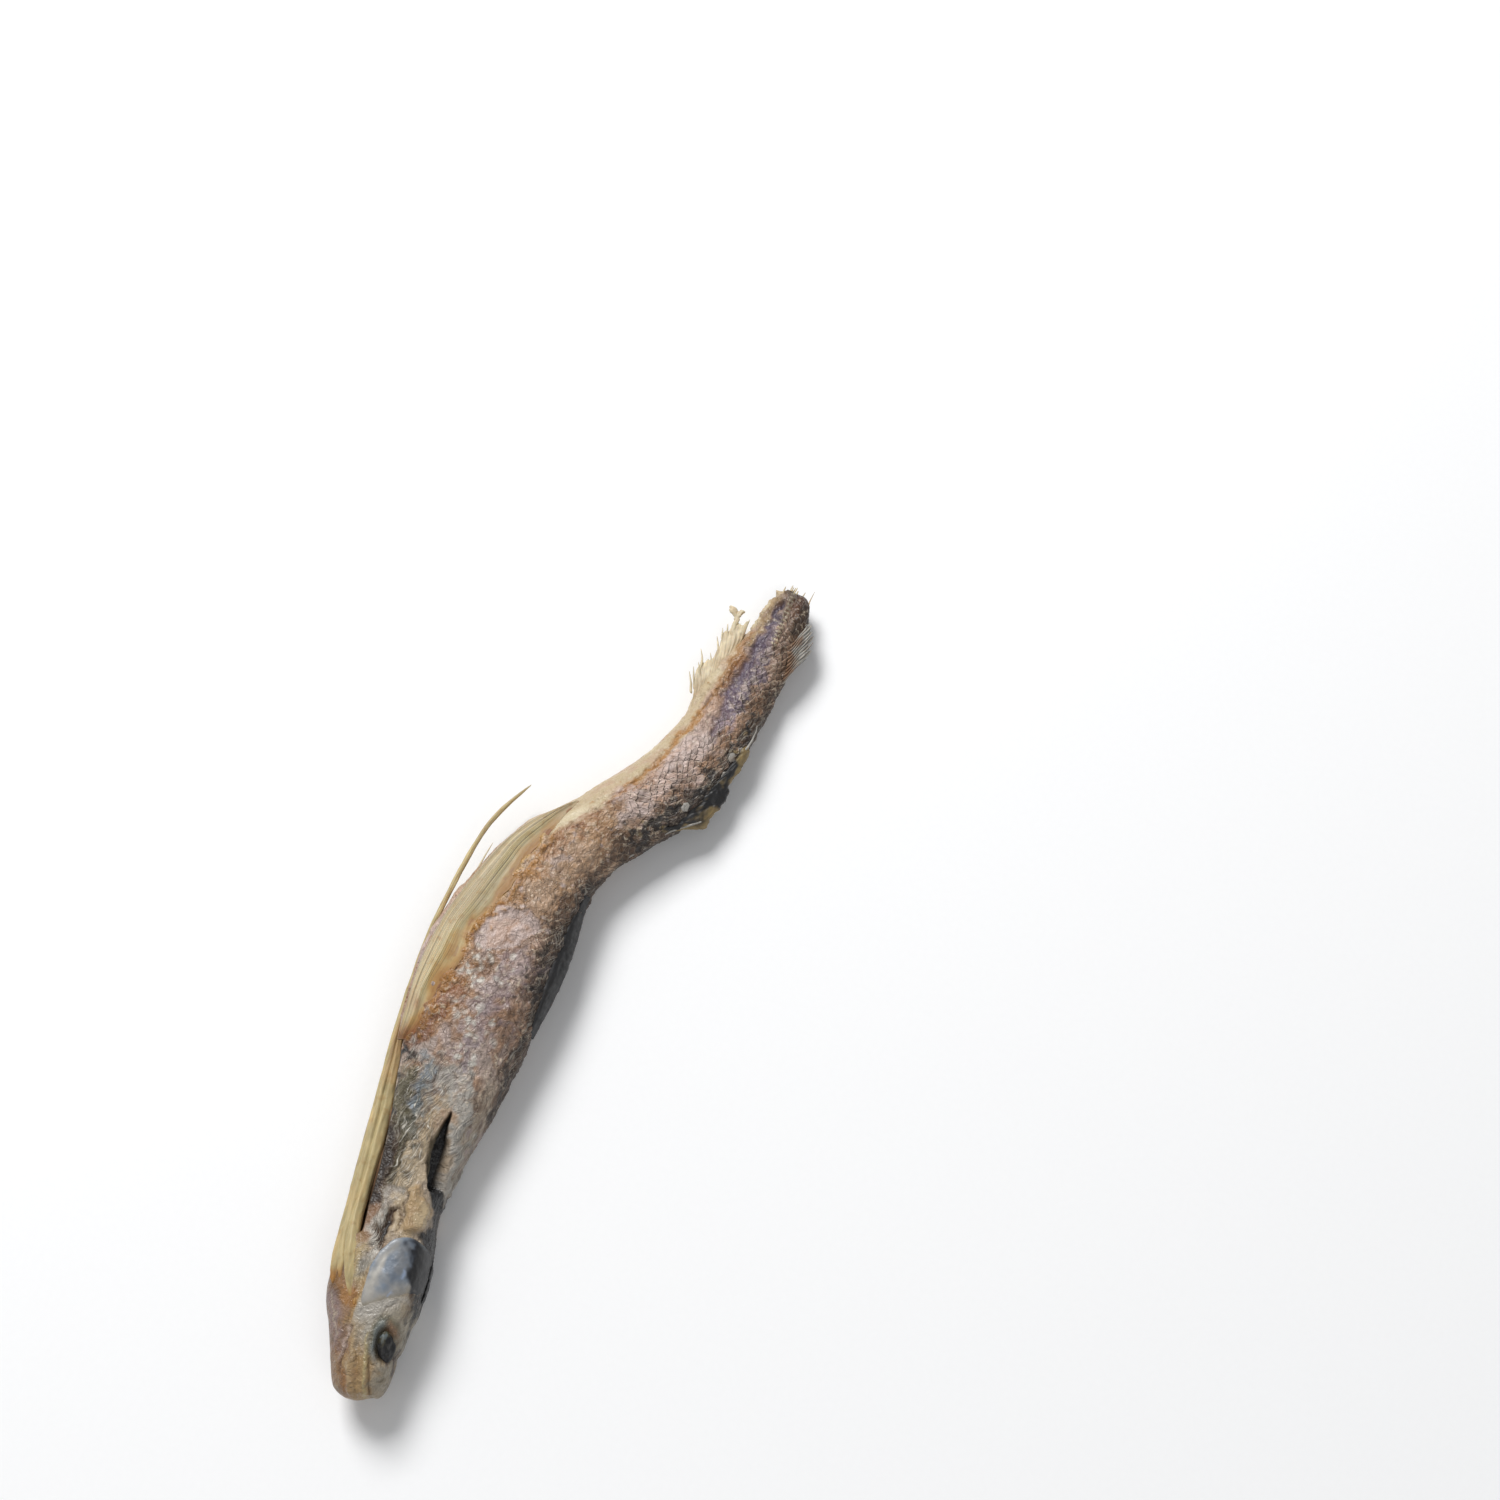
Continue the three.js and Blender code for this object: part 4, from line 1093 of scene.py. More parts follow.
    *(Stroke(rung, PALE, 0.95, 0.14, 0.03, gloss=0.4) for rung in RUNGS),
    # Back: black mottle with olive and ochre between
    Stroke(((62.6, 4.4, 0.4), (68.4, 3.9, 0.6), (72.3, 3.6, 0.7), (75, 3.8, 0.6), (79.6, 3.2, 0.4)), SOOT,
        0.85, 0.6, 1.1),
    *freckles(28, 22, (62, 82, 2.2, 4.2), (0.1, 0.34), SOOT),
    *freckles(29, 10, (64, 80, 3, 4.6), (0.1, 0.22), KHAKI),
    *freckles(30, 26, (36, 60, 3.8, 6.2), (0.1, 0.3), SOOT),
)

# Where the skin is smooth: lump of bone, worn patches, stump, groove of the tail
SMOOTH = (
    Stroke(((16.3, 1.15, 0.9), (17.6, 1.2, 1.1), (19.4, 0.3, 0.7)), strength=0.8),
    Stroke(((44.6, -0.8, 0.7), (46.4, 0.8, 2), (47.4, 2.2, 1.2)), strength=0.6),
    Stroke(((62.6, 2.4, 0.4), (66.7, 1.5, 0.5)), strength=0.6),
    Stroke(((89, 0.6, 0.5), (95.4, 0, 0.9), (96.4, 0, 1.6)), strength=0.8),
    Stroke(((78, 0.2, 0.5), (84, 0.2, 1), (90, -0.1, 0.8)), strength=0.6),
)

# Where torn fibres lie over the skin
HAIRS = (
    Stroke(((20, -1.7, 0.5), (25, -1.9, 0.9), (29, -2.5, 1.2), (32.6, -3.6, 0.8)), strength=0.95, soft=1.0,
        ragged=0.8),
    Stroke(((23, -3, 0.5), (25, -3.4, 0.7), (30, -4.2, 0.7)), strength=0.3, soft=0.8),
    Stroke(((19.6, -1, 0.5), (24, -0.4, 0.9), (31, -0.8, 1.3)), strength=0.7, soft=1.4),
    Stroke(((27, 3, 0.8), (21, 3.4, 0.5)), strength=0.65, soft=1.0),
    Stroke(((13, -1.8, 0.6), (17, -1.8, 0.7)), strength=0.8, soft=0.9),
    Stroke(((64, 4.4, 0.4), (72, 4.1, 0.7), (80, 3.3, 0.5)), strength=0.5, soft=1.0),
    Stroke(((33, 5.6, 0.4), (42, 6.2, 0.4), (56, 4.8, 0.4)), strength=0.4, soft=0.8),
    Stroke(((95.6, 0.6, 1), (96.4, 0, 1.6)), strength=0.3, soft=0.8),
)


class Trunk:
    """The gutted body from behind the gills to the tail stump, with the hollow under its shown
    flank, as one closed skin: outside, round the far rim, over the hollow's walls and back."""

    FIRST, LAST = 12.4, 96.2
    OPEN = Table(((12.4, 0), (13.6, 0.1), (15.0, 1), (18, 1), (44, 1), (47, 0.8), (49.5, 0), (96.2, 0)))
    EDGE = Table((
        (12, 5.6), (14, 3.7), (18, 3.6), (21, 3.65), (25, 4), (30, 4.8), (36, 5.7), (42, 6.6), (48, 6.3),
        (50, 6.1),
    ))
    DEEPEST, SHALLOWEST = 1.2, 0.2  # the hollow's reach past the middle, and its least height
    WALL_SHOWN, WALL_FAR = 1.4, 1.1
    RIM, RIM_RISE = 0.9, 0.5
    LIP, LIP_BULGE = 0.3, (-0.28, -0.05)  # the cut edge's depth, and how far it is rounded out
    DRAWN = 120  # points that each part of a section is drawn with before they are spread
    PARTS = {"top": 122, "bottom": 38, "rim": 6, "floor": 16, "ceiling": 8, "lip": 5}
    ROWS = 505
    CAP = 0.012  # share of the length over which each end closes

    def ring(self, station: float) -> Array:
        """Points of the closed section at one station, evenly spread within each part.

        Args:
            station: where the section is.

        Returns:
            Rows of across, height, girth place and inner share.
        """
        at = np.array([station])
        back, belly, up, down = (COURSE.girth.read(c, at)[0] for c in (1, 2, 3, 4))
        middle = COURSE.middle(at)[0]
        opening = float(np.clip(self.OPEN.read(1, at)[0], 0, 1))
        edge = belly - opening * (belly - min(float(self.EDGE.read(1, at)[0]), belly))

        def outer(angle: Array, rise: float) -> Array:
            """Oval of the skin from the belly, at pi, to the back, at 0."""
            cosine, sine = np.cos(angle), np.abs(np.sin(angle))
            power = np.where(cosine > 0, COURSE.back_power, COURSE.belly_power)
            reach = np.where(cosine > 0, back, belly)
            across = np.sign(cosine) * reach * np.abs(cosine) ** (2 / power)
            return np.stack([across, middle + rise * sine ** (2 / power)], axis=1)

        t = np.linspace(0, 1, self.DRAWN)
        lip_angle = math.acos(-((edge / belly) ** (COURSE.belly_power / 2)))
        top = outer(lip_angle * (1 - t), up)
        bottom = outer(math.pi * t, -down)
        seam = np.array([-belly, middle])
        curl = np.pi * t
        radius = 0.5 * self.RIM
        rim_across = radius - belly - radius * np.cos(curl)
        rim = np.stack([rim_across, middle + self.RIM_RISE * np.sin(curl)], axis=1)
        span = -belly + self.RIM + t * (belly - self.RIM + self.DEEPEST)
        low = COURSE.underside(at, span) + self.WALL_FAR
        high = np.maximum(COURSE.roof(at, span) - self.WALL_SHOWN, low + self.SHALLOWEST)
        narrow = np.minimum(1, 0.3 + 4 * (1 - t))
        narrow = narrow * np.sqrt(np.clip(1 - ((t - 0.8) / 0.2).clip(0) ** 2, 0, 1))
        floor = np.stack([span, (low + high) / 2 - narrow * (high - low) / 2], axis=1)
        floor[:, 1] = np.minimum(floor[:, 1], middle - 0.1)
        back_to_lip = span >= -edge + self.LIP
        ceiling = np.stack([span, (low + high) / 2 + narrow * (high - low) / 2], axis=1)
        ceiling = ceiling[back_to_lip][::-1]
        lip_end, lip_start = top[0], ceiling[-1]
        bulge = np.sin(np.pi * t)[:, None] * np.array(self.LIP_BULGE)
        lip = lip_start + t[:, None] * (lip_end - lip_start) + bulge
        parts = {"top": top, "bottom": bottom, "rim": rim, "floor": floor, "ceiling": ceiling}
        parts["lip"] = lip
        rows, place = [], 0.0
        top_length = float(np.sum(np.linalg.norm(np.diff(top, axis=0), axis=1)))
        for name, line in parts.items():
            if name not in ("top", "bottom"):
                line = seam + opening * (line - seam)
            steps = np.linalg.norm(np.diff(line, axis=0), axis=1)
            run = np.concatenate([[0], np.cumsum(steps)])
            wanted = np.linspace(0, run[-1], self.PARTS[name] + 1)[: self.PARTS[name]]
            even = np.stack([np.interp(wanted, run, line[:, c]) for c in (0, 1)], axis=1)
            inner = {"top": 0.0, "bottom": 0.0, "rim": 0.5, "lip": 0.5}.get(name, 1.0)
            girth = top_length - (place + wanted)
            inner = inner * opening
            rows.append(np.column_stack([even, girth, np.full(len(even), inner)]))
            place += run[-1]
        rows.append(rows[0][:1])
        return np.concatenate(rows)

    def shape(self, across: Array, along: Array) -> Array:
        """Places of the grid's points."""
        columns = sum(self.PARTS.values())
        column = np.rint(across * columns).astype(int)
        row = np.rint(along * self.ROWS).astype(int)
        stations = self.FIRST + (self.LAST - self.FIRST) * np.arange(self.ROWS + 1) / self.ROWS
        rings = np.stack([self.ring(float(station)) for station in stations])
        picked = rings[row, column]
        fraction = np.minimum(along, 1 - along) / self.CAP
        closed = np.sqrt(np.clip(1 - (1 - np.minimum(fraction, 1)) ** 2, 0, 1))
        station = stations[row]
        middle = COURSE.middle(station)
        over, height = picked[:, 0] * closed, middle + (picked[:, 1] - middle) * closed
        return np.column_stack([station, over, height, picked[:, 2:4]])

    def lining(self, spots: Spots) -> Array:
        """Colours inside the hollow: black and brown belly lining."""
        drawn = STREAK.over(spots, 1.2, 0.6)
        tint = spots.ground(UMBER)
        return stain(tint, SOOT, ramp(-0.15, 0.1, drawn))

    def scaly(self, spots: Spots) -> Array:
        """Share of each spot that still has its scales: back, flank edges, and the tail."""
        station, across = spots.station, spots.across
        share = ramp(-1.6, 1.2, across - DARK_FROM.read(1, station)) * ramp(26, 38, station)
        share = np.maximum(share, ramp(58, 68, station) * ramp(-1.0, 0.8, across))
        share = np.maximum(share, 0.25 * ramp(29, 36, station))
        share = np.maximum(share, 0.8 * ramp(-0.3, 0.3, spots.share()) * (1 - spots.upward))
        worn = ((46.2, 0.7, 2.3), (47.2, 2.3, 1.4))
        share = share * (1 - 0.8 * Stroke(worn, soft=0.8, ragged=0.8).cover(spots))
        return share * (1 - creamy(spots)) * (1 - 0.6 * ramp(92, 95, station))

    def build(self, skin: bpy.types.Material) -> None:
        """Makes, raises and paints the trunk."""
        trunk = Surface("trunk_skin", sum(self.PARTS.values()), self.ROWS).lay(self.shape)
        rows, extra = trunk.kept("spot"), trunk.kept("round")
        girth, inner = extra[:, 0], extra[:, 1]
        upward = ramp(-0.25, 0.35, rows[:, 2] - COURSE.middle(rows[:, 0]))
        spots = Spots(rows, upward * (1 - ramp(0.6, 0.9, inner)))
        station = spots.station
        outside, cream = 1 - ramp(0.2, 0.6, inner), creamy(spots)
        scaly = self.scaly(spots) * outside
        relief = crumpled(spots) * (1 - 0.5 * cream)
        lifts = relief + 0.17 * scaly * (shingles(*warped(girth, station)) - 0.5)
        lifts = lifts * (0.35 + 0.65 * outside) + raised(spots, RELIEF) * outside
        torn = FINE.over(spots, 0.45, 0.6, 2) * ramp(87, 91, station)
        lifts = lifts + 1.1 * torn * ramp(0.72, 1.0, -spots.share())
        lifts = lifts + 0.4 * torn * ramp(94.6, 96, station)
        trunk.lift(lifts)
        tint, gloss = painted(spots, bare(spots), PAINT)
        # Painted shade in the skin's hollows and painted highlight on its ridges
        tint = shaded_hollows_lit_ridges(tint, relief, 0.6)
        dim = 0.22 * ramp(78, 84, station) + 0.38 * ramp(90, 95, station)
        dim = dim + 0.14 * ramp(31, 33, station) * ramp(44, 42, station)
        dim = dim + 0.08 * ramp(31, 33, station) * ramp(38, 35, station)
        tint = tint * (1 - dim * (1 - cream))[:, None]
        tint = mix(tint, self.lining(spots), ramp(0.6, 0.95, inner))
        dark = ramp(0.05, 0.012, tint.max(axis=1))
        neck = 0.3 + 0.7 * ramp(24, 34, station)
        rugged = 0.62 + 0.38 * ramp(-2.4, 0.4, spots.across - DARK_FROM.read(1, station))
        speckle = neck * (1 - 0.8 * cream) * outside * (1 - dark) * (1 - 0.5 * scaly) * rugged
        for stroke in SMOOTH:
            speckle = speckle * (1 - stroke.strength * stroke.cover(spots))
        hairs = np.zeros(len(station))
        for stroke in HAIRS:
            hairs = np.maximum(hairs, stroke.strength * stroke.cover(spots))
        hairs = hairs * outside * (1 - dark)
        trunk.colour(tint, (gloss, speckle, scaly * (1 - 0.8 * dark), hairs))
        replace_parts(trunk.finish(skin), NODE)


class Head:
    """The head: blunt snout, mouth and jaw ridges, sunken eye socket, cheek, throat wedge."""

    COLUMNS, ROWS = 210, 200
    REAR = 15.2
    SNOUT_CAP, NAPE_CAP = 0.07, 0.04  # shares of the length over which each end closes
    BLUNT = 2.6  # power of the ends' outline: 2 is an ellipse
    EYE, EYE_HALF, EYE_TURN = (5.25, 1.5), (1.4, 0.78), -0.25

    def shape(self, across: Array, along: Array) -> Array:
        """Places of the grid's points: round the section, and from snout to nape."""
        station = self.REAR * along
        fraction = np.minimum(along / self.SNOUT_CAP, (1 - along) / self.NAPE_CAP)
        rest = (1 - np.minimum(fraction, 1)) ** self.BLUNT
        closed = np.clip(1 - rest, 0, 1) ** (1 / self.BLUNT)
        angle = 2 * np.pi * across
        back, belly, up, down = (COURSE.girth.read(c, station) for c in (1, 2, 3, 4))
        middle = COURSE.middle(station)
        cosine, sine = -np.cos(angle), np.sin(angle)
        power = np.where(cosine > 0, COURSE.back_power, COURSE.belly_power)
        hollow = 1 - 0.09 * ramp(2, 4, station) * ramp(9, 7, station)
        reach = np.where(cosine > 0, back * hollow, belly + 0.45 * ramp(7, 2, station))
        rise = np.where(sine > 0, up, down)
        swell = closed * (1.008 - 0.06 * ramp(12.8, 15.2, station))
        sway = np.sign(cosine) * np.abs(cosine) ** (2 / power)
        lift = np.sign(sine) * np.abs(sine) ** (2 / power)
        girth = (across - 0.5) * np.pi * (back + belly)
        over, height = sway * reach * swell, middle + lift * rise * swell
        flat = 0.5 * ramp(0.9, 0.0, station) * ramp(-0.6, 1.4, over)
        return np.column_stack([station + flat, over, height, girth, 0 * girth])

    def orbit(self, spots: Spots) -> Array:
        """Distance from the eye's middle, 1 at its outline."""
        along, over = spots.station - self.EYE[0], spots.across - self.EYE[1]
        cosine, sine = math.cos(self.EYE_TURN), math.sin(self.EYE_TURN)
        long, short = along * cosine + over * sine, over * cosine - along * sine
        return np.hypot(long / self.EYE_HALF[0], short / self.EYE_HALF[1])

    def socket(self, spots: Spots) -> Array:
        """Millimetres by which the socket is sunk, its rim proud, and the skin round it ringed."""
        far = self.orbit(spots) + 0.5 * spots.sway[:, 0]
        sunk = -0.55 * ramp(1.5, 0.7, far)
        rim = 0.1 * np.exp(-(((far - 1.5) / 0.2) ** 2))
        belly = ramp(1.9, 0.9, spots.across + 0.22 * (spots.station - 5.3))
        rings = 0.04 * np.cos(2 * np.pi * (far - 1.5) / 0.3) * ramp(1.5, 1.7, far)
        return sunk + rim * (0.3 + 0.7 * belly) + rings * ramp(2.2, 1.7, far) * belly

    def build(self, skin: bpy.types.Material) -> None:
        """Makes, raises and paints the head."""
        head = Surface("head_skin", self.COLUMNS, self.ROWS).lay(self.shape)
        spots = head.spots()
        station = spots.station
        socket = self.socket(spots)
        relief = crumpled(spots) * ramp(-0.2, 1.5, station)
        head.lift(relief + socket + raised(spots, RELIEF))
        tint, gloss = painted(spots, bare(spots), PAINT)
        far = self.orbit(spots) + 0.5 * spots.sway[:, 1]
        rear = ramp(-0.9, 0.6, 0.5 * (station - 5.3) - 0.6 * (spots.across - 1.4))
        tint = stain(tint, OLIVE, 0.8 * ramp(2.3, 1.6, far) * rear)
        grey = ramp(1.95, 1.3, far) * ramp(1.6, 0.6, spots.across)
        tint = stain(tint, SLATE, 0.5 * grey)
        lid = ramp(1.9, 1.3, far) * ramp(5.7, 6.7, station) * ramp(0.8, 1.6, spots.across)
        # Brown at the lid, olive round the lens, and soot as painted shade on the socket's shadowed side
        tint = stained(
            tint, (BARK, 0.8 * lid), (OLIVE, 0.6 * ramp(1.3, 0.95, far) * (1 - lid)),
            (SOOT, 0.8 * ramp(1.1, 0.8, far) * (1 - rear)),
        )
        # Painted shade in the hollows of the skin and the eye socket, and painted highlight on their ridges
        tint = shaded_hollows_lit_ridges(tint, relief + 0.8 * socket, 0.6)
        dim = 0.12 * ramp(7.5, 5.5, station)
        dim = dim + 0.24 * ramp(7, 9, station) * ramp(-3.4, -4.6, spots.across)
        tint = tint * (1 - dim)[:, None]
        hairs = 0.3 * ramp(9, 12, station) * ramp(-0.6, -2.5, spots.across)
        grain = 0.12 * ramp(1.1, 1.5, far) * ramp(8.2, 6.6, station)
        marks = (0.15 + gloss, grain, 0.0, hairs)
        head.colour(tint, marks)
        head.finish(skin)


@dataclass(frozen=True)
class GillCover:
    """The gill cover of one flank: a silvered plate with a free, proud rim towards the belly and
    the tail, its front grown into the cheek and its back black as far as the nape, with a painted
    sheen on the black and two painted glints."""

    side: Side
    columns: int = 180
    rows: int = 100
    centre: tuple = (11.3, 0.9)
    outline: tuple = (
        (7.4, -0.8), (7.7, -1.45), (8.9, -1.75), (10.5, -1.78), (12.5, -1.45), (13.9, -0.85), (14.9, 0.1),
        (15.1, 1.4), (14.8, 2.7), (13.7, 3.3), (11.9, 3.4), (9.7, 3.2), (8.9, 2.2), (8.4, 1.1),
        (7.9, 0.1),
    )
    paint: tuple = (
        Stroke(((13.6, 0.7, 0.4), (12.0, 0.7, 0.6), (10.4, 0.5, 0.4)), NAVY, 0.5, 1.8, 0.4),
        Stroke(((7.9, -1.0, 0.4), (9.4, -1.3, 0.5), (11.2, -1.2, 0.5), (13.0, -0.7, 0.4), (14.2, 0.1, 0.2)),
            ASH, 0.85, 1.0, 0.3),
        Stroke(((9.0, -1.4, 0.2), (11.4, -1.2, 0.26), (13.2, -0.65, 0.16)), MILK, 0.45, 0.9, 0.2),
        Stroke(((8.2, -1.6, 0.7), (8.8, -0.5, 0.85), (9.3, 0.6, 0.8), (10.0, 1.8, 0.9), (10.5, 2.6, 0.7)),
            ASH, 0.9, 1.4, 0.35),
        Stroke(((8.0, -1.6, 0.2), (8.6, -0.5, 0.35), (9.0, 0.6, 0.4), (9.7, 1.8, 0.6), (10.1, 2.5, 0.5)),
            CHEEK, 0.95, 0.8, 0.3),
        Stroke(((15.2, 2.2, 0.9), (13.4, 2.5, 1.1), (11.9, 2.9, 1.0), (10.6, 3.2, 0.9), (9.4, 3.8, 0.7)),
            NAVY, 1.0, 0.9, 0.45, gloss=0.1),
        Stroke(((14.9, 2.7, 1.0), (12.8, 2.9, 1.05), (11.2, 3.3, 0.9), (9.8, 3.7, 0.7)), SOOT, 0.95, 0.6,
            0.4),
        # Painted sheen on the black
        Stroke(((14.4, 2.9, 0.12), (14.7, 2.2, 0.1)), SLATE, 0.4, 0.5, 0.3, gloss=0.3),
        # Two painted glints of reflected sky on the plate
        Stroke(((12.1, 1.55, 0.1), (11.5, 1.45, 0.14)), SKY, 0.8, 0.35, 0.25, gloss=0.5),
        Stroke(((9.4, 0.4, 0.08), (9.9, 0.6, 0.08)), SKY, 0.7, 0.3, 0.25),
    )

    def reach(self, angle: Array) -> Array:
        """Millimetres from the middle to the outline at an angle, its corners rounded."""
        points = np.array(self.outline) - self.centre
        turns = np.arctan2(points[:, 1], points[:, 0])
        far = np.hypot(points[:, 0], points[:, 1])
        near = [angle + step for step in (-0.15, -0.07, 0.0, 0.07, 0.15)]
        return np.mean([np.interp(a, turns, far, period=2 * np.pi) for a in near], axis=0)

    def shape(self, across: Array, along: Array) -> Array:
        """Places of the grid's points: round the plate; from its crown over the rim and under."""
        angle = 2 * np.pi * across
        over, share = folded(along, 0.75)
        ripple = 1 + 0.012 * np.sin(5 * angle + 1) + 0.006 * np.sin(13 * angle)
        far = share * self.reach(angle) * ripple
        station = self.centre[0] + far * np.cos(angle)
        sideways = self.centre[1] + far * np.sin(angle)
        free = ramp(0.0, 0.55, np.cos(angle + 1.3))
        front = ramp(-0.1, -0.75, np.cos(angle)) * (1 - 0.6 * free)
        grown = 0.26 * free * ramp(0.5, 0.92, share) - 0.7 * front * ramp(0.1, 1.0, share)
        dish = 0.2 + 0.34 * (1 - share**2) - 0.06 * np.exp(-(((share - 0.75) / 0.1) ** 2)) * free
        edge = 0.3 * (1 - np.sqrt(1 - np.clip((share - 0.93) / 0.07, 0, 1) ** 2))
        top = grown + dish - edge
        lift = np.where(over, top, -0.8 + (0.8 + grown - 0.3) * share**8)
        height = COURSE.flank(self.side, np.maximum(station, 0), sideways, lift)
        return np.column_stack([station, sideways, height, far, share])

    def build(self, bone: bpy.types.Material) -> None:
        """Makes and paints the plate."""
        plate = Surface(f"gill_cover_{self.side.name.lower()}", self.columns, self.rows)
        plate.lay(self.shape)
        spots = plate.spots()
        dents = COARSE.over(spots, 1.1, 0.9)
        fine = FINE.over(spots, 0.5, 0.5, 2)
        plate.lift(0.12 * dents + 0.03 * fine)
        tint = spots.ground(SILVER)
        tint = stain(tint, ASH, 0.35 * ramp(-0.05, 0.15, dents))
        tint, gloss = painted(spots, tint, self.paint)
        plate.colour(tint, (gloss, 0.0, 0.0, 0.0))
        plate.finish(bone)


@dataclass(frozen=True)
class Eye:
    """The shrunken eye of one flank, deep in its socket."""

    side: Side
    sunk: float
    size: tuple = (1.36, 0.76, 0.4)
    columns: int = 80
    rows: int = 50

    def shape(self, across: Array, along: Array) -> Array:
        """Places of the grid's points: round the lens, and from its foot to its crown."""
        around, rise = 2 * np.pi * across, np.pi * (along - 0.5)
        x, y = np.cos(rise) * np.cos(around), np.cos(rise) * np.sin(around)
        cosine, sine = math.cos(Head.EYE_TURN), math.sin(Head.EYE_TURN)
        station = Head.EYE[0] + self.size[0] * y * cosine + self.size[1] * x * sine
        over = Head.EYE[1] + self.size[0] * y * sine - self.size[1] * x * cosine
        up = self.size[2] * np.sin(rise) - self.sunk
        height = COURSE.flank(self.side, station, over, up)
        return np.column_stack([station, over, height, self.size[1] * x, 0 * x])

    def build(self, cornea: bpy.types.Material) -> None:
        """Makes and paints the lens."""
        lens = Surface(f"eye_{self.side.name.lower()}", self.columns, self.rows).lay(self.shape)
        spots = lens.spots()
        dents = COARSE.over(spots, 0.9, 0.7)
        lens.lift(0.3 * dents)
        tint = spots.ground(SOOT)
        rays = STREAK.over(spots, 0.5, 0.2)
        edge = 0.5 * (spots.station - Head.EYE[0]) - 0.6 * (spots.across - Head.EYE[1])
        tint = stain(tint, OLIVE, 0.85 * ramp(0.3, 0.85, edge + 1.5 * dents))
        # Slate-grey streaks towards the lens's rear and belly side are painted highlight
        grey = ramp(0.03, 0.15, rays) * ramp(0.1, 0.8, edge)
        tint = stain(tint, SLATE, 0.6 * grey)
        lens.colour(tint, (0.5, 0.0, 0.0, 0.0))
        lens.finish(cornea)


@dataclass(frozen=True)
class Strand:
    """A strand along rows of station, across, height, width and thickness; a laid one has its
    heights counted from the shown flank."""

    name: str
    rows: tuple
    ground: Pigment
    tip: Pigment | None = None
    foot: Pigment | None = None
    ridges: int = 0
    ridge: float = 0.1
    rough: float = 0.05
    gloss: float = 0.2
    laid: bool = False
    sides: int = 24
    steps: int = 120

    def shape(self, across: Array, along: Array) -> Array:
        """Places of the grid's points: round the strand, and along it."""
        station, middle, height, width, thick = read_along(self.rows, along)
        angle = 2 * np.pi * across
        closed = rounded(along, 24)
        side = np.cos(angle)
        ripple = 1 + self.ridge * np.cos(np.pi * self.ridges * side + 0.6)
        drift = 0.3 * width * (STREAK.at(along * 9, 0 * along + width[0], 0 * along) - 0.5)
        over = middle + 0.5 * width * side * closed + drift
        up = height + 0.5 * thick * np.sin(angle) * closed * ripple
        if self.laid:
            up = up + COURSE.roof(np.maximum(station, 0), over)
        return np.column_stack([station, over, up, width * (across - 0.5), along])

    def build(self, material: bpy.types.Material) -> None:
        """Makes, roughens and paints the strand."""
        strand = Surface(self.name, self.sides, self.steps, 0.2).lay(self.shape)
        along = strand.kept("round")[:, 1]
        spots = strand.spots()
        drawn, cloud = STREAK.over(spots, 1.6, 0.28), COARSE.over(spots, 2.0, 1.0)
        strand.lift(2 * self.rough * drawn)
        tint = spots.ground(self.ground)
        tint = stain(tint, OCHRE, 0.15 * ramp(0.05, 0.2, cloud))
        if self.tip is not None:
            tint = stain(tint, self.tip, 0.9 * ramp(0.16, 0.0, along + 0.2 * cloud))
        if self.foot is not None:
            tint = stain(tint, self.foot, ramp(0.7, 0.95, along + 0.2 * cloud))
        tint = tint * (1 + 0.8 * drawn + 0.4 * cloud)[:, None]
        strand.colour(tint, (self.gloss, 0.15, 0.0, 0.0))
        strand.finish(material)


